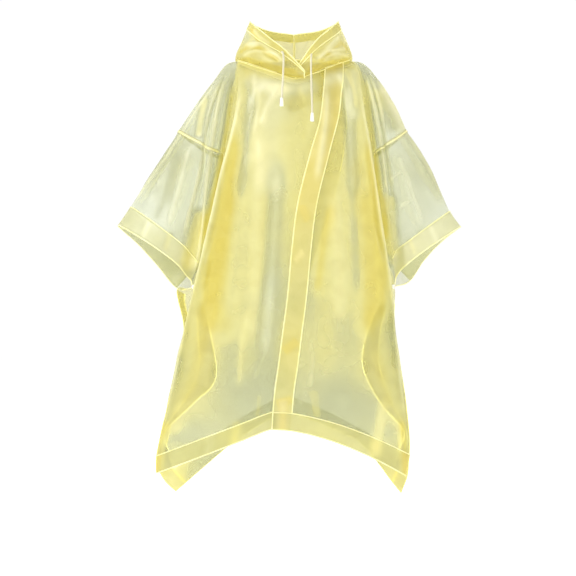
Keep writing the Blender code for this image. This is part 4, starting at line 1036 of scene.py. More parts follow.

# %% [markdown]
# Nobody sees the back while the wearer faces them, but a garment is turned round sooner or later.
# It gets the same kinds of folds as the front, as uneven in their length and spacing.

# %% The folds of the back, and of the arms seen from behind
# Density in troughs and by the ridges is painted shade; bleaching on ridges a painted highlight.
BACK_FOLDS = (
    ("middle fold", 0.016, 0.004, 0, 0.3, 0.012, -0.14, 0.004, -0.33, -0.006, -0.54, -0.012, -0.7),
    ("trough, right", 0.015, -0.0035, 0.3, 0, -0.05, -0.11, -0.066, -0.33, -0.088, -0.56, -0.104,
     -0.74),
    ("trough, left", 0.016, -0.0035, 0.3, 0, 0.062, -0.13, 0.072, -0.34, 0.08, -0.56, 0.09,
     -0.735),
    ("swell, right", 0.017, 0.004, 0, 0.3, -0.096, -0.17, -0.122, -0.39, -0.15, -0.62, -0.16,
     -0.78),
    ("swell, left", 0.018, 0.004, 0, 0.3, 0.118, -0.15, 0.136, -0.38, 0.15, -0.61, 0.152, -0.78),
    ("ridge, right", 0.0045, 0.0008, 0, 0.85, -0.113, -0.04, -0.118, -0.124, -0.137, -0.213,
     -0.158, -0.315, -0.176, -0.408, -0.198, -0.52, -0.21, -0.6, -0.236, -0.748, -0.236, -0.806),
    ("ridge, left", 0.0045, 0.0008, 0, 0.85, 0.141, -0.04, 0.158, -0.124, 0.172, -0.213, 0.186,
     -0.317, 0.197, -0.41, 0.205, -0.52, 0.209, -0.6, 0.222, -0.748, 0.222, -0.806),
    ("dense by the ridge, right", 0.019, -0.002, 0.7, 0, -0.106, -0.15, -0.14, -0.33, -0.17,
     -0.48, -0.186, -0.62, -0.2, -0.76),
    ("dense by the ridge, left", 0.019, -0.002, 0.7, 0, 0.148, -0.15, 0.166, -0.33, 0.18, -0.48,
     0.184, -0.62, 0.192, -0.76),
    ("pulled crease, nape right", 0.006, 0.0016, 0, 0.4, -0.046, -0.03, -0.064, -0.08, -0.09,
     -0.13),
    ("pulled crease, nape left", 0.006, -0.0016, 0.3, 0, 0.058, -0.03, 0.078, -0.08, 0.108,
     -0.128),
    ("crease under the bag", 0.006, 0.0015, 0, 0.4, -0.016, -0.11, -0.026, -0.17, -0.028, -0.23),
    ("seat crease", 0.005, 0.0014, 0, 0.4, 0.036, -0.47, 0.01, -0.5, -0.03, -0.515),
    ("fine crease, knee", 0.0035, 0.0012, 0, 0.5, -0.052, -0.61, -0.06, -0.66, -0.084, -0.715),
    ("hem buckle, right", 0.008, 0.0016, 0.2, 0.2, -0.07, -0.742, -0.074, -0.79, -0.078, -0.815),
    ("hem buckle, left", 0.008, -0.0016, 0.3, 0, 0.054, -0.735, 0.06, -0.78, 0.064, -0.805),
    # Denser and paler at the back's lower corners.
    ("denser corner, right", 0.03, 0, 0.25, 0.35, -0.245, -0.84, -0.262, -0.915, -0.262, -1.0),
    ("denser corner, left", 0.032, 0, 0.45, 0.45, 0.232, -0.83, 0.242, -0.905, 0.252, -1.0),
)
# Density in valleys and gathers is painted shade; bleaching on ridges and lines a painted
# highlight.
ARM_BACK_FOLDS = {
    "right": (
        ("valley by the back", 0.011, 0, 1.0, 0, -0.116, -0.03, -0.128, -0.11, -0.152, -0.23,
         -0.168, -0.33, -0.188, -0.43),
        ("first ridge, bright", 0.0036, 0.0006, 0, 0.85, -0.122, -0.011, -0.138, -0.061, -0.152,
         -0.121, -0.166, -0.205, -0.172, -0.285, -0.194, -0.388, -0.222, -0.462),
        ("second ridge, bright", 0.0036, 0.0006, 0, 0.7, -0.127, -0.009, -0.15, -0.059, -0.17,
         -0.117, -0.19, -0.194, -0.199, -0.268, -0.23, -0.363),
        ("line beside the top fold", 0.003, 0.0008, 0, 0.8, -0.15, -0.04, -0.194, -0.098, -0.234,
         -0.162, -0.288, -0.246, -0.344, -0.33),
        ("soft streak, elbow", 0.009, 0.0026, 0, 0.45, -0.214, -0.19, -0.24, -0.28, -0.272, -0.37),
        ("trough beside it", 0.01, -0.0024, 0.2, 0, -0.238, -0.2, -0.272, -0.29, -0.306, -0.36),
        ("gather by the underarm", 0.018, -0.0012, 0.6, 0, -0.186, -0.33, -0.208, -0.42, -0.228,
         -0.47),
        ("cuff buckle", 0.006, 0.0013, 0.1, 0.3, -0.296, -0.36, -0.312, -0.4),
    ),
    "left": (
        ("valley by the back", 0.01, 0, 1.0, 0, 0.148, -0.03, 0.168, -0.11, 0.184, -0.23, 0.192,
         -0.33, 0.206, -0.43),
        ("first ridge, bright", 0.0036, 0.0006, 0, 0.8, 0.15, -0.01, 0.17, -0.058, 0.182, -0.12,
         0.194, -0.203, 0.202, -0.283, 0.216, -0.386),
        ("second ridge, bright", 0.0036, 0.0006, 0, 0.6, 0.154, -0.009, 0.179, -0.055, 0.194,
         -0.115, 0.211, -0.192, 0.225, -0.268, 0.25, -0.358),
        ("line beside the top fold", 0.008, 0.0009, 0.1, 0.55, 0.176, -0.04, 0.216, -0.098, 0.246,
         -0.162, 0.296, -0.246, 0.346, -0.332),
        ("soft streak, elbow", 0.009, 0.0024, 0, 0.4, 0.232, -0.19, 0.256, -0.29, 0.29, -0.38),
        ("gather by the underarm", 0.016, -0.0012, 0.6, 0, 0.206, -0.33, 0.222, -0.42, 0.238,
         -0.46),
        ("cuff buckle", 0.006, -0.0013, 0.3, 0, 0.29, -0.37, 0.304, -0.404),
    ),
}
print("folds on the back:", len(BACK_FOLDS))

# %% [markdown]
# ## Press the folds in
# A fold moves the points near its line along the sheet's own normals, and marks how dense and how
# bleached the film is there: in troughs the density is painted shade, and on ridges the bleaching
# is a painted highlight. The nearer a point is to the line, the more it moves, on a bell curve, so
# no fold has a hard border. A faint ripple is added everywhere, with a fixed seed.

# %% Helpers that press a fold in
END_FADE = 0.16  # of a fold's length, over which it fades out
ROUTE_STEPS = 6
FACE_FADE = 0.012  # from the garment's middle plane, where folds change from one face to the other


def soft_step(value):
    value = np.clip(value, 0.0, 1.0)
    return value * value * (3.0 - 2.0 * value)


def near_route(flat, places, half_width):
    """How near each point is to a fold's route: 1 on it, and 0 beside it and past its ends."""
    stations = np.reshape(places, (-1, 2))
    route = smooth(stations, [ROUTE_STEPS] * (len(stations) - 1))
    lengths = distances_along(route)
    nearest = np.full(flat.shape[:-1], np.inf)
    share = np.zeros(flat.shape[:-1])
    for i in range(len(route) - 1):
        along = route[i + 1] - route[i]
        inside = np.clip(((flat - route[i]) @ along) / (along @ along), 0.0, 1.0)
        apart = np.linalg.norm(flat - route[i] - inside[..., None] * along, axis=-1)
        closer = apart < nearest
        nearest = np.where(closer, apart, nearest)
        here = (lengths[i] + inside * (lengths[i + 1] - lengths[i])) / lengths[-1]
        share = np.where(closer, here, share)
    ends = soft_step(share / END_FADE) * soft_step((1.0 - share) / END_FADE)
    return np.exp(-((nearest / half_width) ** 2)) * ends


def fold_fields(grid, folds, facing):
    """The height, the density and the bleaching that the folds give to each point, where density
    in troughs is painted shade and bleaching on ridges a painted highlight. facing is -1 for folds
    that are seen from the front, and 1 for those seen from behind."""
    fields = np.zeros((3,) + grid.shape[:2])
    on_this_face = soft_step(grid[..., 1] * facing / FACE_FADE)
    for _, half_width, *amounts in folds:
        strengths, places = amounts[:3], amounts[3:]
        near = near_route(grid[..., [0, 2]], places, half_width) * on_this_face
        for field, strength in zip(fields, strengths):
            field += near * strength
    return fields


# %% Helpers for normals, borders and ripples
RIPPLE_LENGTHS = (0.19, 0.11, 0.065, 0.038)
RIPPLES_EACH = 3
BORDER_FADE = 0.020


def outwards(grid, turn):
    """A unit normal at each point of a grid, the mean of the faces round it."""
    across = np.diff(grid, axis=1)
    down = np.diff(grid, axis=0)
    faces = unit(np.cross(down[:, :-1] + down[:, 1:], across[:-1] + across[1:]))
    total = np.zeros_like(grid)
    total[:-1, :-1] += faces
    total[:-1, 1:] += faces
    total[1:, :-1] += faces
    total[1:, 1:] += faces
    return unit(-total if turn else total)


def border_fade(grid, borders):
    """1 inside the grid and 0 at the named borders, with a soft step between."""
    fade = np.ones(grid.shape[:2])
    for border in borders:
        lines = grid if border in ("top", "bottom") else np.swapaxes(grid, 0, 1)
        if border in ("bottom", "last"):
            lines = lines[::-1]
        steps = np.linalg.norm(np.diff(lines, axis=0), axis=-1).mean(axis=-1)
        step = soft_step(np.concatenate([[0.0], np.cumsum(steps)]) / BORDER_FADE)
        if border in ("bottom", "last"):
            step = step[::-1]
        fade *= step[:, None] if border in ("top", "bottom") else step[None, :]
    return fade


def ripple_heights(grid, seed, height):
    """A faint unevenness with no direction, as handled film has everywhere."""
    rng = np.random.default_rng(seed)
    total = np.zeros(grid.shape[:2])
    for wave_length in RIPPLE_LENGTHS:
        for _ in range(RIPPLES_EACH):
            way = unit(rng.normal(size=3))
            phase = rng.uniform(0, 2 * np.pi)
            total += np.sin(2 * np.pi * (grid @ way) / wave_length + phase) * wave_length
    return height * total / np.abs(total).max()


# %% [markdown]
# Each kind of panel has a density of its own. On the body it falls from the chest to the hem, so
# the film is more golden at the top and greyer towards the hem; the arms are the thinnest to look
# at, and the hood is gathered. A panel's borders stay where they are, where another panel meets
# them.

# %% Lay the folds into the sheets
# Seed, height of the ripples, density at the top and at the bottom, borders that stay in place.
# The seed of a sheet on the wearer's right, and of the back, is one more.
PANEL_KINDS = {
    "back": (10, 0.0022, 0.42, 0.15, ("first", "last")),
    "front": (21, 0.0022, 0.42, 0.15, ("last",)),
    "shoulder": (31, 0.0012, 0.0, -0.05, ("first", "last", "top", "bottom")),
    "sleeve": (41, 0.0022, 0.0, -0.05, ("first", "last", "top")),
    "hood": (51, 0.0014, 0.56, 0.44, ("first", "bottom")),
}
SEAM_ROW = sum(BODY_ARM_STEPS) * DOWN
TOP_COLUMN = sum(ARM_FRONT_STEPS) * ACROSS


class Worn:
    """A creased sheet: its points, and how dense and how bleached the film is at each, with
    painted shade in the density and painted highlights in the bleaching. turn says that its outer
    side is on the other side of the grid."""

    def __init__(self, grid, turn, dense, white):
        self.grid, self.turn, self.dense, self.white = grid, turn, dense, white

    def part(self, rows, columns):
        cut = (rows, columns)
        return Worn(self.grid[cut], self.turn, self.dense[cut], self.white[cut])

    def normals(self):
        return outwards(self.grid, self.turn)


def crease(kind, turn, grid, folds, back_folds, ridge=None):
    """The sheet with its folds and ripples pressed in, along its own normals. The folds end at the
    column of the ridge, if there is one, because the margin turned in behind it lies smooth."""
    seed, ripple, top, bottom, borders = PANEL_KINDS[kind]
    fields = fold_fields(grid, folds, -1) + fold_fields(grid, back_folds, 1)
    if ridge is not None:
        fields *= soft_step((ridge - np.arange(grid.shape[1])) / ACROSS + 1.0)
    ripples = ripple_heights(grid, seed + turn, ripple)
    heights = (fields[0] + ripples) * border_fade(grid, borders)
    down = np.linspace(0.0, 1.0, len(grid))[:, None]
    dense = np.clip(fields[1] + top + (bottom - top) * down, 0.0, 1.0)
    moved = grid + outwards(grid, turn) * heights[..., None]
    return Worn(moved, turn, dense, np.clip(fields[2], 0.0, 1.0))


worn = {"back": crease("back", True, back, (), BACK_FOLDS)}
for side in SIDES:
    turn = side == "right"
    arm, arm_folds = arms[side], (ARM_FOLDS[side], ARM_BACK_FOLDS[side])
    ridge = sum(FRONT_COLUMN_STEPS[side][:-2]) * ACROSS
    worn[f"front_{side}"] = crease("front", turn, fronts[side], FRONT_FOLDS[side], (), ridge)
    worn[f"shoulder_{side}"] = crease("shoulder", turn, arm[: SEAM_ROW + 1], *arm_folds)
    worn[f"sleeve_{side}"] = crease("sleeve", turn, arm[SEAM_ROW:], *arm_folds)
for name, panel in worn.items():
    least, most = float(panel.dense.min()), float(panel.dense.max())
    print(name, "density from", round(least, 2), "to", round(most, 2))

# %% [markdown]
# ## Lay the sheets
# Each sheet becomes a thin shell: the creased surface is its outer face and a Solidify modifier
# gives it half a millimetre of film inwards. The front sheet of each side runs over the shoulder
# fold, and the back's sheet meets it there. The cut edge takes the weld's material, with its
# painted glow.

# %% Helpers for a sheet
SHEET_WALL = 0.0005
SAME_POINT = 0.00002  # how near two sheets' points lie where the sheets share a border
ALL = slice(None)


def drawn_in(piece, border, step):
    """The sheet with one border line drawn in, so that its neighbour has room."""
    grid = piece.grid.copy()
    lines = grid if border in ("top", "bottom") else np.swapaxes(grid, 0, 1)
    edge, inner = (0, 1) if border in ("top", "first") else (-1, -2)
    away = lines[inner] - lines[edge]
    lengths = np.maximum(np.linalg.norm(away, axis=-1, keepdims=True), 1e-9)
    lines[edge] += away / lengths * np.minimum(step, lengths * 0.5)
    return Worn(grid, piece.turn, piece.dense, piece.white)


def shell(name, pieces, material, thickness=SHEET_WALL, outside=False):
    """A thin shell from creased sheets that share their borders."""
    points, faces, dense, white = [], [], [], []
    for piece in pieces:
        start = len(points)
        rows, columns = piece.grid.shape[:2]
        points.extend(piece.grid.reshape(-1, 3))
        dense.extend(piece.dense.ravel())
        white.extend(piece.white.ravel())
        for r in range(rows - 1):
            for c in range(columns - 1):
                first = start + r * columns + c
                ring = (first, first + columns, first + columns + 1, first + 1)
                faces.append(ring[::-1] if piece.turn else ring)
    sheet = new_mesh(name, points, faces, material, weld)
    for word, values in (("dense", dense), ("bleached", white)):
        attribute = sheet.data.attributes.new(word, "FLOAT", "POINT")
        attribute.data.foreach_set("value", np.array(values, dtype=np.float32))
    bm = bmesh.new()
    bm.from_mesh(sheet.data)
    bmesh.ops.remove_doubles(bm, verts=bm.verts, dist=SAME_POINT)
    bm.to_mesh(sheet.data)
    bm.free()
    wall = sheet.modifiers.new("film", "SOLIDIFY")
    wall.thickness = thickness
    wall.offset = 1.0 if outside else -1.0
    wall.use_even_offset = False
    wall.material_offset_rim = 1
    return sheet


# %% Build the body's sheets
# The room between sheets: at the shoulder fold, at a sleeve's fold lines and at a weld.
SHOULDER_GAP = 0.0008
SLEEVE_GAP = 0.0012
SEAM_GAP = 0.0004
sheets = {}
cap_pieces = []
for side in SIDES:
    shoulder = worn[f"shoulder_{side}"]
    cap = drawn_in(shoulder.part(ALL, slice(0, TOP_COLUMN + 1)), "last", SHOULDER_GAP)
    sheets[f"front_{side}"] = shell(f"front_{side}_film", [worn[f"front_{side}"], cap], film)
    cap_pieces.append(drawn_in(shoulder.part(ALL, slice(TOP_COLUMN, None)), "first", SHOULDER_GAP))
    sleeve = drawn_in(worn[f"sleeve_{side}"], "top", SEAM_GAP)
    sleeve = drawn_in(drawn_in(sleeve, "first", SLEEVE_GAP), "last", SLEEVE_GAP)
    worn[f"sleeve_{side}"] = sleeve
    sheets[f"sleeve_{side}"] = shell(f"sleeve_{side}_film", [sleeve], film)
sheets["back"] = shell("back_film", [worn["back"]] + cap_pieces, film)
for name, sheet in sheets.items():
    hand_over(sheet, [name])
    low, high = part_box(name)
    solid = [round(h - l, 3) for l, h in zip(low, high)]
    print(name, "solid", solid, "film", [round(d, 3) for d in sheet.dimensions])

# %% [markdown]
# ## Welded bands
# The hem, the cuffs, the front placket, the slit's edges and the neck are doubled: the maker folds
# the film over or lays a strip on it and welds both sides. Two layers swallow more light, so the
# bands look denser. Each band is a slice of the sheet below it, moved out by less than a
# millimetre, so it follows every crease.

# %% Helpers for a band
BAND_LIFT = 0.0007
BAND_WALL = 0.0004


def band(name, panel, rows, columns, short=None, more=(0.0, 0.0), material=band_film):
    """A second layer on a stretch of a sheet, moved out along the sheet's own normals. short says
    how far its borders are drawn in, and more what it adds to the film's density and bleaching."""
    piece = panel.part(rows, columns)
    piece.dense, piece.white = piece.dense + more[0], piece.white + more[1]
    piece.grid = piece.grid + panel.normals()[rows, columns] * BAND_LIFT
    for border, step in (short or {}).items():
        piece = drawn_in(piece, border, step)
    return shell(name, [piece], material, BAND_WALL, outside=True)


def mirrored_order(piece):
    """The same sheet with its columns the other way round."""
    return Worn(piece.grid[:, ::-1], not piece.turn, piece.dense[:, ::-1], piece.white[:, ::-1])


def back_half(side):
    """The back from its middle to one side edge."""
    if side == "left":
        return worn["back"].part(ALL, slice(MIDDLE, None))
    return mirrored_order(worn["back"].part(ALL, slice(0, MIDDLE + 1)))


# %% [markdown]
# A band is a rectangle of the sheet's own grid, so its place is named by rows and columns. The
# grid's lines are a few millimetres apart, and a band is ACROSS or DOWN of them wide, or twice as
# many.

# %% Lay the bands
SLIT_ROW = 8  # of the stations, where the open sides begin
NECK_DROP = 0.0025  # of the bands below the neck edge
TAPE_WIDTH = 0.008  # over the sleeve weld
HEM_ROWS = slice(-DOWN - 1, None)
NECK_ROWS = slice(0, DOWN + 1)
PLACKET_ROWS = slice(0, -DOWN)
SLIT_START = sum(FRONT_ROW_STEPS[:SLIT_ROW]) * DOWN
SIDE_ROWS = slice(SLIT_START, -DOWN)
PLACKET_COLUMN = FRONT_COLUMN_STEPS["left"][0] * ACROSS
NECK_COLUMNS = {
    "back": slice(2 * ACROSS, -2 * ACROSS),
    "right": slice(ACROSS, -2 * ACROSS),
    "left": slice(PLACKET_COLUMN, -2 * ACROSS),
}
CUFF_COLUMNS = slice(ACROSS, -ACROSS)
TAPE_COLUMNS = slice(ACROSS // 3, -(ACROSS // 3))
MARGIN_COLUMNS = slice(-ACROSS - 1, None)
BACK_MARGIN_COLUMNS = slice(-2 * ACROSS - 1, None)
ABOVE_HEM = {"bottom": SEAM_GAP}
BELOW_NECK = {"top": NECK_DROP, "first": SEAM_GAP}
PLACKET_ENDS = {"top": 0.6 * NECK_DROP, "bottom": SEAM_GAP}
# What each kind of band adds to the film's density and bleaching.
PLACKET_MORE = (0.38, 0.22)
NECK_MORE = (0.0, 0.1)
HEM_MORE = (0.15, 0.0)
CUFF_MORE = {"right": (0.10, 0.50), "left": (0.10, 0.75)}
SIDE_MORE = {"front": (0.4, 0.3), "back": (0.3, 0.35)}
TAPE_MORE = (0.2, 0.5)


def side_bands(side):
    """The bands that both sides have: what each is called, and then what band() asks for."""
    front, sleeve, half = worn[f"front_{side}"], worn[f"sleeve_{side}"], back_half(side)
    return (
        ("neck_band", front, NECK_ROWS, NECK_COLUMNS[side], BELOW_NECK, NECK_MORE),
        ("hem_front", front, HEM_ROWS, ALL, None, HEM_MORE),
        ("cuff", sleeve, HEM_ROWS, CUFF_COLUMNS, None, CUFF_MORE[side]),
        ("side_band_front", front, SIDE_ROWS, MARGIN_COLUMNS, ABOVE_HEM, SIDE_MORE["front"]),
        ("side_band_back", half, SIDE_ROWS, BACK_MARGIN_COLUMNS, ABOVE_HEM, SIDE_MORE["back"]),
    )


def tape_over_seam(side):
    """A strip along the weld between the body and a sleeve, with its middle on the weld."""
    strip = np.stack([arms[side][SEAM_ROW + step] for step in (-1, 0, 1)])
    for row in (0, 2):
        strip[row] = strip[1] + unit(strip[row] - strip[1]) * TAPE_WIDTH / 2
    plain = np.zeros(strip.shape[:2])
    return Worn(strip, side == "right", plain, plain)


bands = {
    "placket_band": band(
        "placket_strip", worn["front_left"], PLACKET_ROWS, slice(0, PLACKET_COLUMN + 1),
        PLACKET_ENDS, PLACKET_MORE,
    ),
    "hem_back": band("hem_back_strip", worn["back"], HEM_ROWS, ALL, material=film),
    "neck_band_back": band(
        "neck_back_strip", worn["back"], NECK_ROWS, NECK_COLUMNS["back"], BELOW_NECK,
    ),
}
for side in SIDES:
    for name, *place in side_bands(side):
        bands[f"{name}_{side}"] = band(f"{name}_{side}_strip", *place)
    name = f"sleeve_tape_{side}"
    tape = tape_over_seam(side)
    bands[name] = band(f"{name}_strip", tape, ALL, TAPE_COLUMNS, more=TAPE_MORE)
for name, piece in bands.items():
    hand_over(piece, [name])
print("bands:", len(bands))

# %% [markdown]
# ## The hood
# The hood is two panels, welded along their middle and round the neck. Here it lies down: the
# opening stands up round the neck like a collar and the bag hangs behind. Each panel has five
# lines from its neck seam to its free edge, and a tunnel for the drawstring along it.

# %% The stations of the hood
# Out from HOOD_MIDDLE, y and z of five lines: the neck seam, the low line under the overhang, the
# overhang, the wall above it and the opening's edge. Front to back; the ends differ by the lap.
HOOD_MIDDLE = 0.009
HOOD_FRONT = {
    "right": (
        ("end", -0.022, -0.117, -0.056, -0.0215, -0.121, -0.0555, -0.021, -0.125, -0.052, -0.0215,
         -0.128, -0.0475, -0.022, -0.129, -0.043),
        ("crossing", 0.005, -0.104, -0.053, 0.006, -0.113, -0.051, 0.009, -0.124, -0.04, 0.007,
         -0.126, -0.027, 0.006, -0.121, -0.012),
        ("collar front", 0.036, -0.092, -0.044, 0.038, -0.104, -0.041, 0.044, -0.114, -0.026,
         0.036, -0.115, -0.008, 0.026, -0.105, 0.01),
    ),
    "left": (
        ("end", 0.003, -0.098, -0.053, 0.003, -0.103, -0.0535, 0.003, -0.107, -0.049, 0.004,
         -0.108, -0.041, 0.006, -0.106, -0.033),
        ("crossing", 0.014, -0.097, -0.051, 0.018, -0.103, -0.05, 0.026, -0.11, -0.04, 0.022,
         -0.111, -0.028, 0.018, -0.106, -0.015),
        ("collar front", 0.04, -0.092, -0.043, 0.044, -0.102, -0.04, 0.055, -0.112, -0.025, 0.045,
         -0.113, -0.008, 0.035, -0.102, 0.01),
    ),
}
HOOD_AROUND = (
    ("collar side", 0.074, -0.076, -0.028, 0.077, -0.086, -0.026, 0.084, -0.094, -0.011, 0.07,
     -0.095, 0.012, 0.054, -0.079, 0.036),
    ("before peak", 0.106, -0.045, -0.01, 0.11, -0.052, -0.008, 0.115, -0.058, 0.004, 0.1, -0.064,
     0.028, 0.08, -0.05, 0.062),
    ("peak", 0.121, 0, 0.001, 0.124, -0.004, 0.001, 0.127, -0.008, 0.012, 0.114, -0.012, 0.044,
     0.096, -0.01, 0.084),
    ("behind peak", 0.106, 0.042, 0.005, 0.119, 0.07, -0.004, 0.125, 0.076, 0.008, 0.112, 0.07,
     0.046, 0.086, 0.04, 0.084),
    ("bag side", 0.064, 0.07, 0.011, 0.086, 0.12, -0.04, 0.092, 0.142, -0.044, 0.086, 0.14, 0.015,
     0.056, 0.084, 0.08),
    ("bag middle", 0.0006, 0.08, 0.0145, 0.0006, 0.144, -0.072, 0.0006, 0.178, -0.092, 0.0006,
     0.184, -0.01, 0.0006, 0.108, 0.076),
)
print("stations of each half:", len(HOOD_FRONT["right"]) + len(HOOD_AROUND))

# %% The folds of the hood's collar, and of its bag seen from behind
HOOD_FOLDS = {
    # Density in valleys, dents and the fold under the overhang is painted shade; bleaching on
    # creases is a painted highlight.
    "right": (
        ("upper crease to the face", 0.0045, 0.0018, -0.1, 0.55, -0.101, 0.023, -0.064, 0.023,
         -0.043, 0.006, -0.015, -0.014),
        ("valley below it", 0.0045, -0.0016, 0.5, 0, -0.103, 0.014, -0.069, 0.013, -0.047, -0.003,
         -0.019, -0.022),
        ("lower crease to the face", 0.004, 0.0015, -0.1, 0.5, -0.107, -0.003, -0.071, 0.006,
         -0.032, -0.007, -0.007, -0.029),
        ("gather from the peak", 0.0045, -0.0016, 0.5, 0, -0.089, 0.071, -0.076, 0.043, -0.063,
         0.023),
        ("pleat from the peak", 0.004, 0.0015, 0, 0.5, -0.08, 0.062, -0.065, 0.039, -0.039, 0.017),
        ("dent by the shoulder", 0.005, -0.0014, 0.4, 0, -0.113, 0.006, -0.091, 0.023, -0.078,
         0.041),
        ("milky flank", 0.016, 0, -0.3, 0.55, -0.109, 0.067, -0.098, 0.049, -0.087, 0.032, -0.074,
         0.01),
        ("shadowed fold under the overhang", 0.0036, -0.0012, 1.0, 0, -0.109, -0.007, -0.092,
         -0.011, -0.068, -0.022, -0.032, -0.034, -0.011, -0.04, 0.019, -0.045),
    ),
    "left": (
        ("upper crease to the face", 0.0045, 0.0018, -0.1, 0.55, 0.112, 0.052, 0.094, 0.027,
         0.073, 0.001, 0.051, -0.021),
        ("valley below it", 0.0045, -0.0016, 0.5, 0, 0.118, 0.035, 0.097, 0.014, 0.075, -0.008,
         0.06, -0.025),
        ("lower crease to the face", 0.004, 0.0015, -0.1, 0.5, 0.124, 0.016, 0.103, 0.009, 0.081,
         0.003, 0.058, -0.019),
        ("pleat by the shoulder", 0.004, 0.0014, 0, 0.5, 0.131, 0.001, 0.097, -0.001, 0.066,
         -0.019),
        ("dent by the shoulder", 0.005, -0.0014, 0.4, 0, 0.13, 0.012, 0.115, 0.028, 0.102, 0.049),
        ("milky flank", 0.016, 0, -0.2, 0.4, 0.121, 0.062, 0.111, 0.041, 0.098, 0.019, 0.078,
         -0.003),
        ("shadowed fold under the overhang", 0.0036, -0.0012, 1.0, 0, 0.034, -0.039, 0.06, -0.031,
         0.09, -0.021, 0.111, -0.014, 0.133, -0.005),
    ),
}
HOOD_BAG_FOLDS = {
    "right": (
        ("long crease, bag", 0.007, 0.0022, 0, 0.4, -0.016, 0.07, -0.04, 0.02, -0.05, -0.05),
        ("side crease, bag", 0.007, -0.002, 0.3, 0, -0.052, 0.076, -0.078, 0.04, -0.096, 0),
        ("short pleat, bag", 0.005, 0.0016, 0, 0.4, -0.024, -0.05, -0.046, -0.066, -0.066, -0.058),
        ("dent by the shoulder", 0.008, -0.002, 0.3, 0, -0.09, 0.062, -0.104, 0.03, -0.112, 0.008),
    ),
    "left": (
        ("long crease, bag", 0.007, 0.0022, 0, 0.4, 0.04, 0.07, 0.056, 0.01, 0.06, -0.048),
        ("side crease, bag", 0.007, -0.002, 0.3, 0, 0.072, 0.07, 0.094, 0.036, 0.108, 0),
        ("short pleat, bag", 0.005, 0.0016, 0, 0.4, 0.036, -0.06, 0.064, -0.064, 0.084, -0.05),
        ("dent by the shoulder", 0.008, -0.002, 0.3, 0, 0.104, 0.062, 0.12, 0.03, 0.126, 0.008),
    ),
}
print("folds on the hood:", {side: len(HOOD_FOLDS[side]) for side in SIDES})

# %% [markdown]
# The hood's seam is laid along the neck edge of the body's sheets. Each of its points finds its
# place there by its angle about the neck's middle, and takes the panel's lower lines with it.

# %% A helper that lays the hood on the neck
HOOD_STEPS = (2,) * 8
HOOD_PROFILE_STEPS = (1, 1, 2, 2, 1)
HOOD_LIFT = 0.0030  # of its seam above the neck edge
WELDED_FROM = 2  # the first row of the hood's tables that is welded to the neck
HOOD_WELD_ROW = sum(HOOD_STEPS[:WELDED_FROM]) * DOWN
SEAM_FOLLOW = (1.0, 1.0, 0.5, 0.0)  # how much the lines beside the seam move with it


def round_neck(points, sign):
    """The angle of points about the neck's middle, from the front and towards the side."""
    return np.arctan2(sign * (points[:, 0] - HOOD_MIDDLE) + 1e-9, -points[:, 1])


def on_neck(hood, side):
    """The hood with its seam laid along the body's neck edge, as far as it is welded."""
    sign = SIDES[side]
    line = np.vstack([fronts[side][0], arms[side][0, 1:-1], halves[side][0, ::-1]])
    angles = round_neck(line, sign)
    order = np.argsort(angles)
    wanted = round_neck(hood[:, 0], sign)
    course = [np.interp(wanted, angles[order], line[order, axis]) for axis in range(3)]
    move = np.stack(course, axis=1) + (0, 0, HOOD_LIFT) - hood[:, 0]
    free = sum(HOOD_STEPS[: WELDED_FROM - 1]) * DOWN
    share = np.clip((np.arange(len(hood)) - free) / (HOOD_WELD_ROW - free), 0, 1)
    for column in range(hood.shape[1]):
        follow = np.interp(column / ACROSS, range(len(SEAM_FOLLOW)), SEAM_FOLLOW)
        hood[:, column] += move * share[:, None] * follow
    return hood


# %% Build the hood
TUNNEL_WIDTH = 0.020  # for the drawstring
UNDER_REACH = 2.4  # of the hood's lines from its seam, under the overhang, over which layers lie behind one another
UNDER_LAYERS_AND_SHADE = 0.5  # what the layers behind one another and the painted shade under the overhang add to density


def hood_grid(side):
    """One half of the hood, from its front end to the middle of its back."""
    rows = []
    for row in HOOD_FRONT[side] + HOOD_AROUND:
        seam, low, overhang, wall, rim = side_points(row, side) + (HOOD_MIDDLE, 0, 0)
        width = min(TUNNEL_WIDTH, 0.6 * np.linalg.norm(wall - rim))
        line = rim + unit(wall - rim) * width
        steps = finer(HOOD_PROFILE_STEPS, ACROSS)
        rows.append(smooth([seam, low, overhang, wall, line, rim], steps))
    return on_neck(smooth(np.array(rows), finer(HOOD_STEPS, DOWN)), side)


for side in SIDES:
    name, tunnel = f"hood_{side}", f"hood_tunnel_{side}"
    folds = (HOOD_FOLDS[side], HOOD_BAG_FOLDS[side])
    hood = crease("hood", side == "right", hood_grid(side), *folds)
    # The film under the overhang is denser: partly the layers behind one another, partly painted
    # shade.
    under = soft_step(1.0 - np.arange(hood.grid.shape[1]) / (UNDER_REACH * ACROSS))
    hood.dense = np.clip(hood.dense + UNDER_LAYERS_AND_SHADE * under, 0.0, 1.0)
    worn[name] = hood
    sheets[name] = shell(f"{name}_film", [hood], film)
    bands[tunnel] = band(f"{tunnel}_strip", hood, ALL, MARGIN_COLUMNS)
    hand_over(sheets[name], [name])
    hand_over(bands[tunnel], [tunnel])
    print("hood", side, [round(d, 3) for d in sheets[name].dimensions])

# %% [markdown]
# ## Weld lines
# Every welded edge has a thin raised line where the film was melted: a flat half-round bead, two
# to four millimetres wide. It is swept along the sheet's own points, so it follows the creases.
# These lines draw the whole garment, because with their painted glow they are the brightest
# thing on it.

# %% Helpers for the beads
BEAD_HEIGHT = 0.0008
BEAD_LIFT = 0.0003
BEAD_SIDES = 8
BEAD_ANGLES = [2 * math.pi * side / BEAD_SIDES for side in range(BEAD_SIDES)]


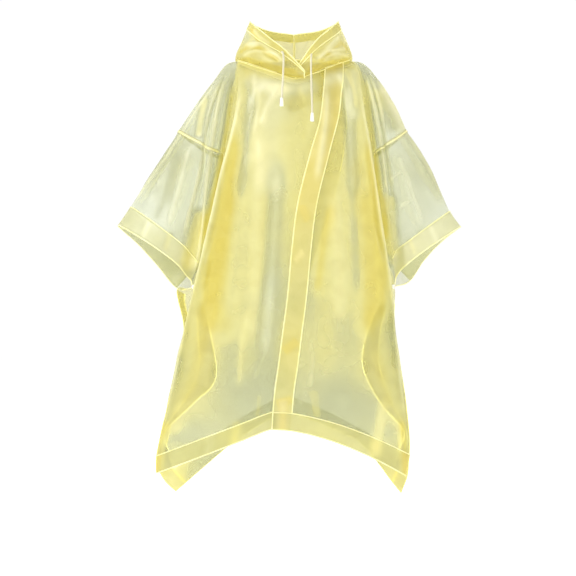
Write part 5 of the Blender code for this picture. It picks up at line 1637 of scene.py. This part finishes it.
def bead(line, normals, width):
    """Points and faces of a flattened tube along a line that lies on a sheet."""
    along = unit(np.gradient(line, axis=0))
    sideways = unit(np.cross(along, normals))
    section = [(math.cos(a) * width / 2, math.sin(a) * BEAD_HEIGHT / 2) for a in BEAD_ANGLES]
    points, faces = [], []
    for centre, out, beside in zip(line + normals * BEAD_LIFT, normals, sideways):
        points += [centre + beside * x + out * y for x, y in section]
    for start in range(0, len(points) - BEAD_SIDES, BEAD_SIDES):
        for k in range(BEAD_SIDES):
            a, b = start + k, start + (k + 1) % BEAD_SIDES
            faces.append((a, b, b + BEAD_SIDES, a + BEAD_SIDES))
    faces.append(tuple(range(BEAD_SIDES)))
    faces.append(tuple(range(len(points) - BEAD_SIDES, len(points)))[::-1])
    return points, faces


def beads(name, panel, runs, material=weld):
    """One piece of several beads on a sheet. Each run is the rows, the columns, the width and how
    far above the sheet it lies."""
    normals = panel.normals()
    points, faces = [], []
    for rows, columns, width, lift in runs:
        line, out = panel.grid[rows, columns], unit(normals[rows, columns])
        more, rings = bead(line + out * lift, out, width)
        faces += [tuple(index + len(points) for index in ring) for ring in rings]
        points += more
    return hand_over(new_mesh(name, points, faces, material))


# %% [markdown]
# A bead runs along one row or one column of its sheet. An edge has one bead, and most bands have
# a second one along their inner border. The lists below name them for each sheet, and the lift
# says whether a bead lies on the sheet or on the band that covers it.

# %% Sweep the beads
# The widths of the beads.
EDGE_BEAD = 0.0027
SEAM_BEAD = 0.0024
SIDE_BEAD = 0.0042  # at the margins of the open sides, where two lines lie close
TAPE_BEAD = 0.0036
LAP_BEAD = 0.0040  # where the hood's halves meet at the back
TAPE_BEAD_COLUMNS = slice(3, -3)
ON_SHEET = 0.0
ON_BAND = BAND_LIFT + BAND_WALL
OPEN_ROWS = slice(SLIT_START, None)
# A run is the rows, the columns, the width and the lift.
HEM_RUNS = [(-1, ALL, EDGE_BEAD, ON_BAND), (-DOWN - 1, ALL, SEAM_BEAD, ON_BAND)]
MARGIN_RUNS = [
    (OPEN_ROWS, -1, SIDE_BEAD, ON_BAND),
    (SIDE_ROWS, -ACROSS - 1, SEAM_BEAD, ON_BAND),
]
CUFF_RUNS = [
    (-1, ALL, EDGE_BEAD, ON_BAND),
    (-DOWN - 1, CUFF_COLUMNS, SEAM_BEAD, ON_BAND),
    (0, TAPE_BEAD_COLUMNS, TAPE_BEAD, ON_BAND),
]
HOOD_RUNS = [
    (ALL, -1, EDGE_BEAD, ON_BAND),
    (ALL, -ACROSS - 1, SEAM_BEAD, ON_BAND),
    (slice(HOOD_WELD_ROW, None), 0, SEAM_BEAD, ON_SHEET),
    (0, ALL, SEAM_BEAD, ON_SHEET),
]
BACK_RUNS = [(-1, ALL, EDGE_BEAD, ON_BAND)]
BACK_RUNS += [(OPEN_ROWS, column, EDGE_BEAD, ON_BAND) for column in (0, -1)]
BACK_RUNS += [
    (OPEN_ROWS, column, SIDE_BEAD, ON_BAND) for column in (2 * ACROSS, -2 * ACROSS - 1)
]
# What only one of the two sides has.
FREE_EDGE_LIFT = {"right": ON_SHEET, "left": ON_BAND}
PLACKET_RUNS = {"right": [], "left": [(PLACKET_ROWS, PLACKET_COLUMN, SEAM_BEAD, ON_BAND)]}
LAP_RUNS = {"right": [], "left": [(-1, ALL, LAP_BEAD, ON_SHEET)]}

welds, margin_welds = {}, {}
for side in SIDES:
    front, sleeve, hood = (f"{kind}_{side}" for kind in ("front", "sleeve", "hood"))
    edges = [(ALL, 0, EDGE_BEAD, FREE_EDGE_LIFT[side]), (0, ALL, SEAM_BEAD, ON_SHEET)]
    runs = HEM_RUNS + edges + PLACKET_RUNS[side]
    welds[front] = beads(f"{front}_welds", worn[front], runs)
    # The margin welds and the back's welds have the stronger painted glow.
    margin_welds[side] = beads(f"{front}_margin_welds", worn[front], MARGIN_RUNS, far_weld_painted_glow)
    welds[sleeve] = beads(f"{sleeve}_welds", worn[sleeve], CUFF_RUNS)
    welds[hood] = beads(f"{hood}_welds", worn[hood], HOOD_RUNS + LAP_RUNS[side])
welds["back"] = beads("back_welds", worn["back"], BACK_RUNS, far_weld_painted_glow)
print("weld pieces:", len(welds) + len(margin_welds))

# %% [markdown]
# ## What each sheet was cut from
# Film is bought flat. The table gives the flat size each sheet would be cut from and the area that
# is left after the curves are cut away; each sheet's spans and area are printed, and the bands and
# welds that each sheet carries are gathered.

CUTS = {
    "front_right": (0.430, 0.980, 0.279),
    "front_left": (0.400, 0.980, 0.234),
    "back": (0.800, 1.100, 0.495),
    "sleeve_right": (0.540, 0.330, 0.112),
    "sleeve_left": (0.510, 0.330, 0.097),
    "hood_right": (0.510, 0.350, 0.062),
    "hood_left": (0.490, 0.350, 0.061),
}


def area_of(grid):
    down, across = np.diff(grid, axis=0)[:, :-1], np.diff(grid, axis=1)[:-1]
    return float(np.linalg.norm(np.cross(down, across), axis=-1).sum())


def spans(grid):
    """The mean and the greatest length of a grid's rows, then of its columns."""
    rows = np.linalg.norm(np.diff(grid, axis=1), axis=-1).sum(axis=1)
    columns = np.linalg.norm(np.diff(grid, axis=0), axis=-1).sum(axis=0)
    return [round(float(v), 3) for v in (rows.mean(), rows.max(), columns.mean(), columns.max())]


for name, panel in worn.items():
    print(name, "spans", spans(panel.grid), "area", round(area_of(panel.grid), 3))
for name, (width, length, area) in CUTS.items():
    piece, side = name.split("_") if "_" in name else (name, "")
    carried = {
        "front": [f"neck_band_{side}", f"hem_front_{side}", f"side_band_front_{side}"],
        "back": ["neck_band_back", "hem_back", "side_band_back_right", "side_band_back_left"],
        "sleeve": [f"cuff_{side}", f"sleeve_tape_{side}"],
        "hood": [f"hood_tunnel_{side}"],
    }[piece]
    if name == "front_left":
        carried.append("placket_band")
    pieces = [bands[one] for one in carried] + [welds[name]]
    if piece == "front":
        pieces.append(margin_welds[side])

# %% [markdown]
# ## The underarm snaps
# A snap is two moulded discs pressed together through the film: a cap before and a stud behind.
# The cap has a rolled rim and a shallow dish, left by the setting tool.

# %% Make the snaps
SNAP_RADIUS = 0.005
SNAP_INSET = 0.0011  # of a disc's foot behind the middle of its solid
CAP_PROFILE = (
    (0.0, 0.0014), (0.0016, 0.0014), (0.0021, 0.0016), (0.0028, 0.0021), (0.0038, 0.0022),
    (0.0046, 0.0018), (SNAP_RADIUS, 0.0010), (SNAP_RADIUS, 0.0002), (0.0, 0.0),
)
STUD_PROFILE = (
    (0.0, 0.0022), (0.0014, 0.0022), (0.0018, 0.0019), (0.0017, 0.0013), (0.0022, 0.0010),
    (0.0042, 0.0009), (0.0048, 0.0006), (SNAP_RADIUS, 0.0002), (0.0, 0.0),
)
FRONT_SNAP_ROW = sum(FRONT_ROW_STEPS[:SNAP_ROW]) * DOWN
BACK_SNAP_ROW = sum(BACK_ROW_STEPS[:SNAP_ROW]) * DOWN
for side in SIDES:
    for kind, panel, row, profile in (
        ("cap", worn[f"front_{side}"], FRONT_SNAP_ROW, CAP_PROFILE),
        ("stud", back_half(side), BACK_SNAP_ROW, STUD_PROFILE),
    ):
        name = f"snap_{kind}_{side}"
        low, high = (np.array(corner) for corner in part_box(name))
        normal = panel.normals()[row, -1 - ACROSS]
        centre = (low + high) / 2 - normal * SNAP_INSET
        disc = lathe(f"{name}_disc", profile, plastic)
        disc.location = centre
        disc.rotation_euler = Vector(normal).to_track_quat("Z", "Y").to_euler()
        hand_over(disc, [name])
        print("snap", kind, side, [round(float(v), 3) for v in centre])

# %% [markdown]
# ## Floor and light
# A pale, even room suits a see-through garment: the light comes from all round, and a large soft
# lamp on each side shapes the creases. A lamp behind lets the film glow.

# %% Set the floor and the world
FLOOR_HEIGHT = -1.085
FLOOR_CORNERS = ((-6, -4), (6, -4), (6, 8), (-6, 8))
FLOOR_GREYS = [(0.3, (0.93, 0.93, 0.93)), (0.7, (0.97, 0.97, 0.97))]
FLOOR_GLOW = 0.40
WHITE = (1.0, 1.0, 1.0, 1.0)
# The room is brighter behind the garment than before it, on a slope along Y.
ROOM_SLOPE = {"From_Min": -0.35, "From_Max": 0.65, "To_Min": 0.40, "To_Max": 1.02}
floor_material, tree = empty_material("pale_floor")
floor_surface = node(
    tree, "ShaderNodeBsdfPrincipled", Base_Color=noise_ramp(tree, 1.5, FLOOR_GREYS),
    Roughness=0.9, Emission_Color=WHITE, Emission_Strength=FLOOR_GLOW,
)
node(tree, "ShaderNodeOutputMaterial", Surface=floor_surface)
corners = [(x, y, FLOOR_HEIGHT) for x, y in FLOOR_CORNERS]
floor = new_mesh("floor", corners, [(0, 1, 2, 3)], floor_material)
world = bpy.data.worlds.new("pale_room")
world.use_nodes = True
tree = world.node_tree
place = node(tree, "ShaderNodeTexCoord").outputs["Generated"]
forward = node(tree, "ShaderNodeSeparateXYZ", Vector=place).outputs["Y"]
room = node(tree, "ShaderNodeMapRange", Value=forward, **ROOM_SLOPE)
background = tree.nodes["Background"]
tree.links.new(room.outputs["Result"], background.inputs["Strength"])
background.inputs["Color"].default_value = WHITE
bpy.context.scene.world = world
bpy.context.scene.view_settings.view_transform = "Standard"
print("floor at", FLOOR_HEIGHT)


# %% Set the lamps
# Name, place, the height of the target on the garment's middle line, size, power in watts.
LAMPS = (
    ("key_softbox", (-2.2, -1.9, 1.3), -0.45, 1.0, 78.0),
    ("fill_softbox", (2.6, -1.6, 0.3), -0.5, 1.6, 30.0),
    ("back_softbox", (0.3, 2.4, 1.4), -0.4, 2.0, 30.0),
)


def lamp(name, place, target_height, size, power):
    """A square soft lamp that looks at the garment's middle line."""
    data = bpy.data.lights.new(name, "AREA")
    data.size = size
    data.energy = power
    light = link(name, data)
    light.location = place
    towards = Vector((0.0, 0.0, target_height)) - Vector(place)
    light.rotation_euler = towards.to_track_quat("-Z", "Y").to_euler()
    return light


lamps = [lamp(*one) for one in LAMPS]
print("lamps:", len(lamps))
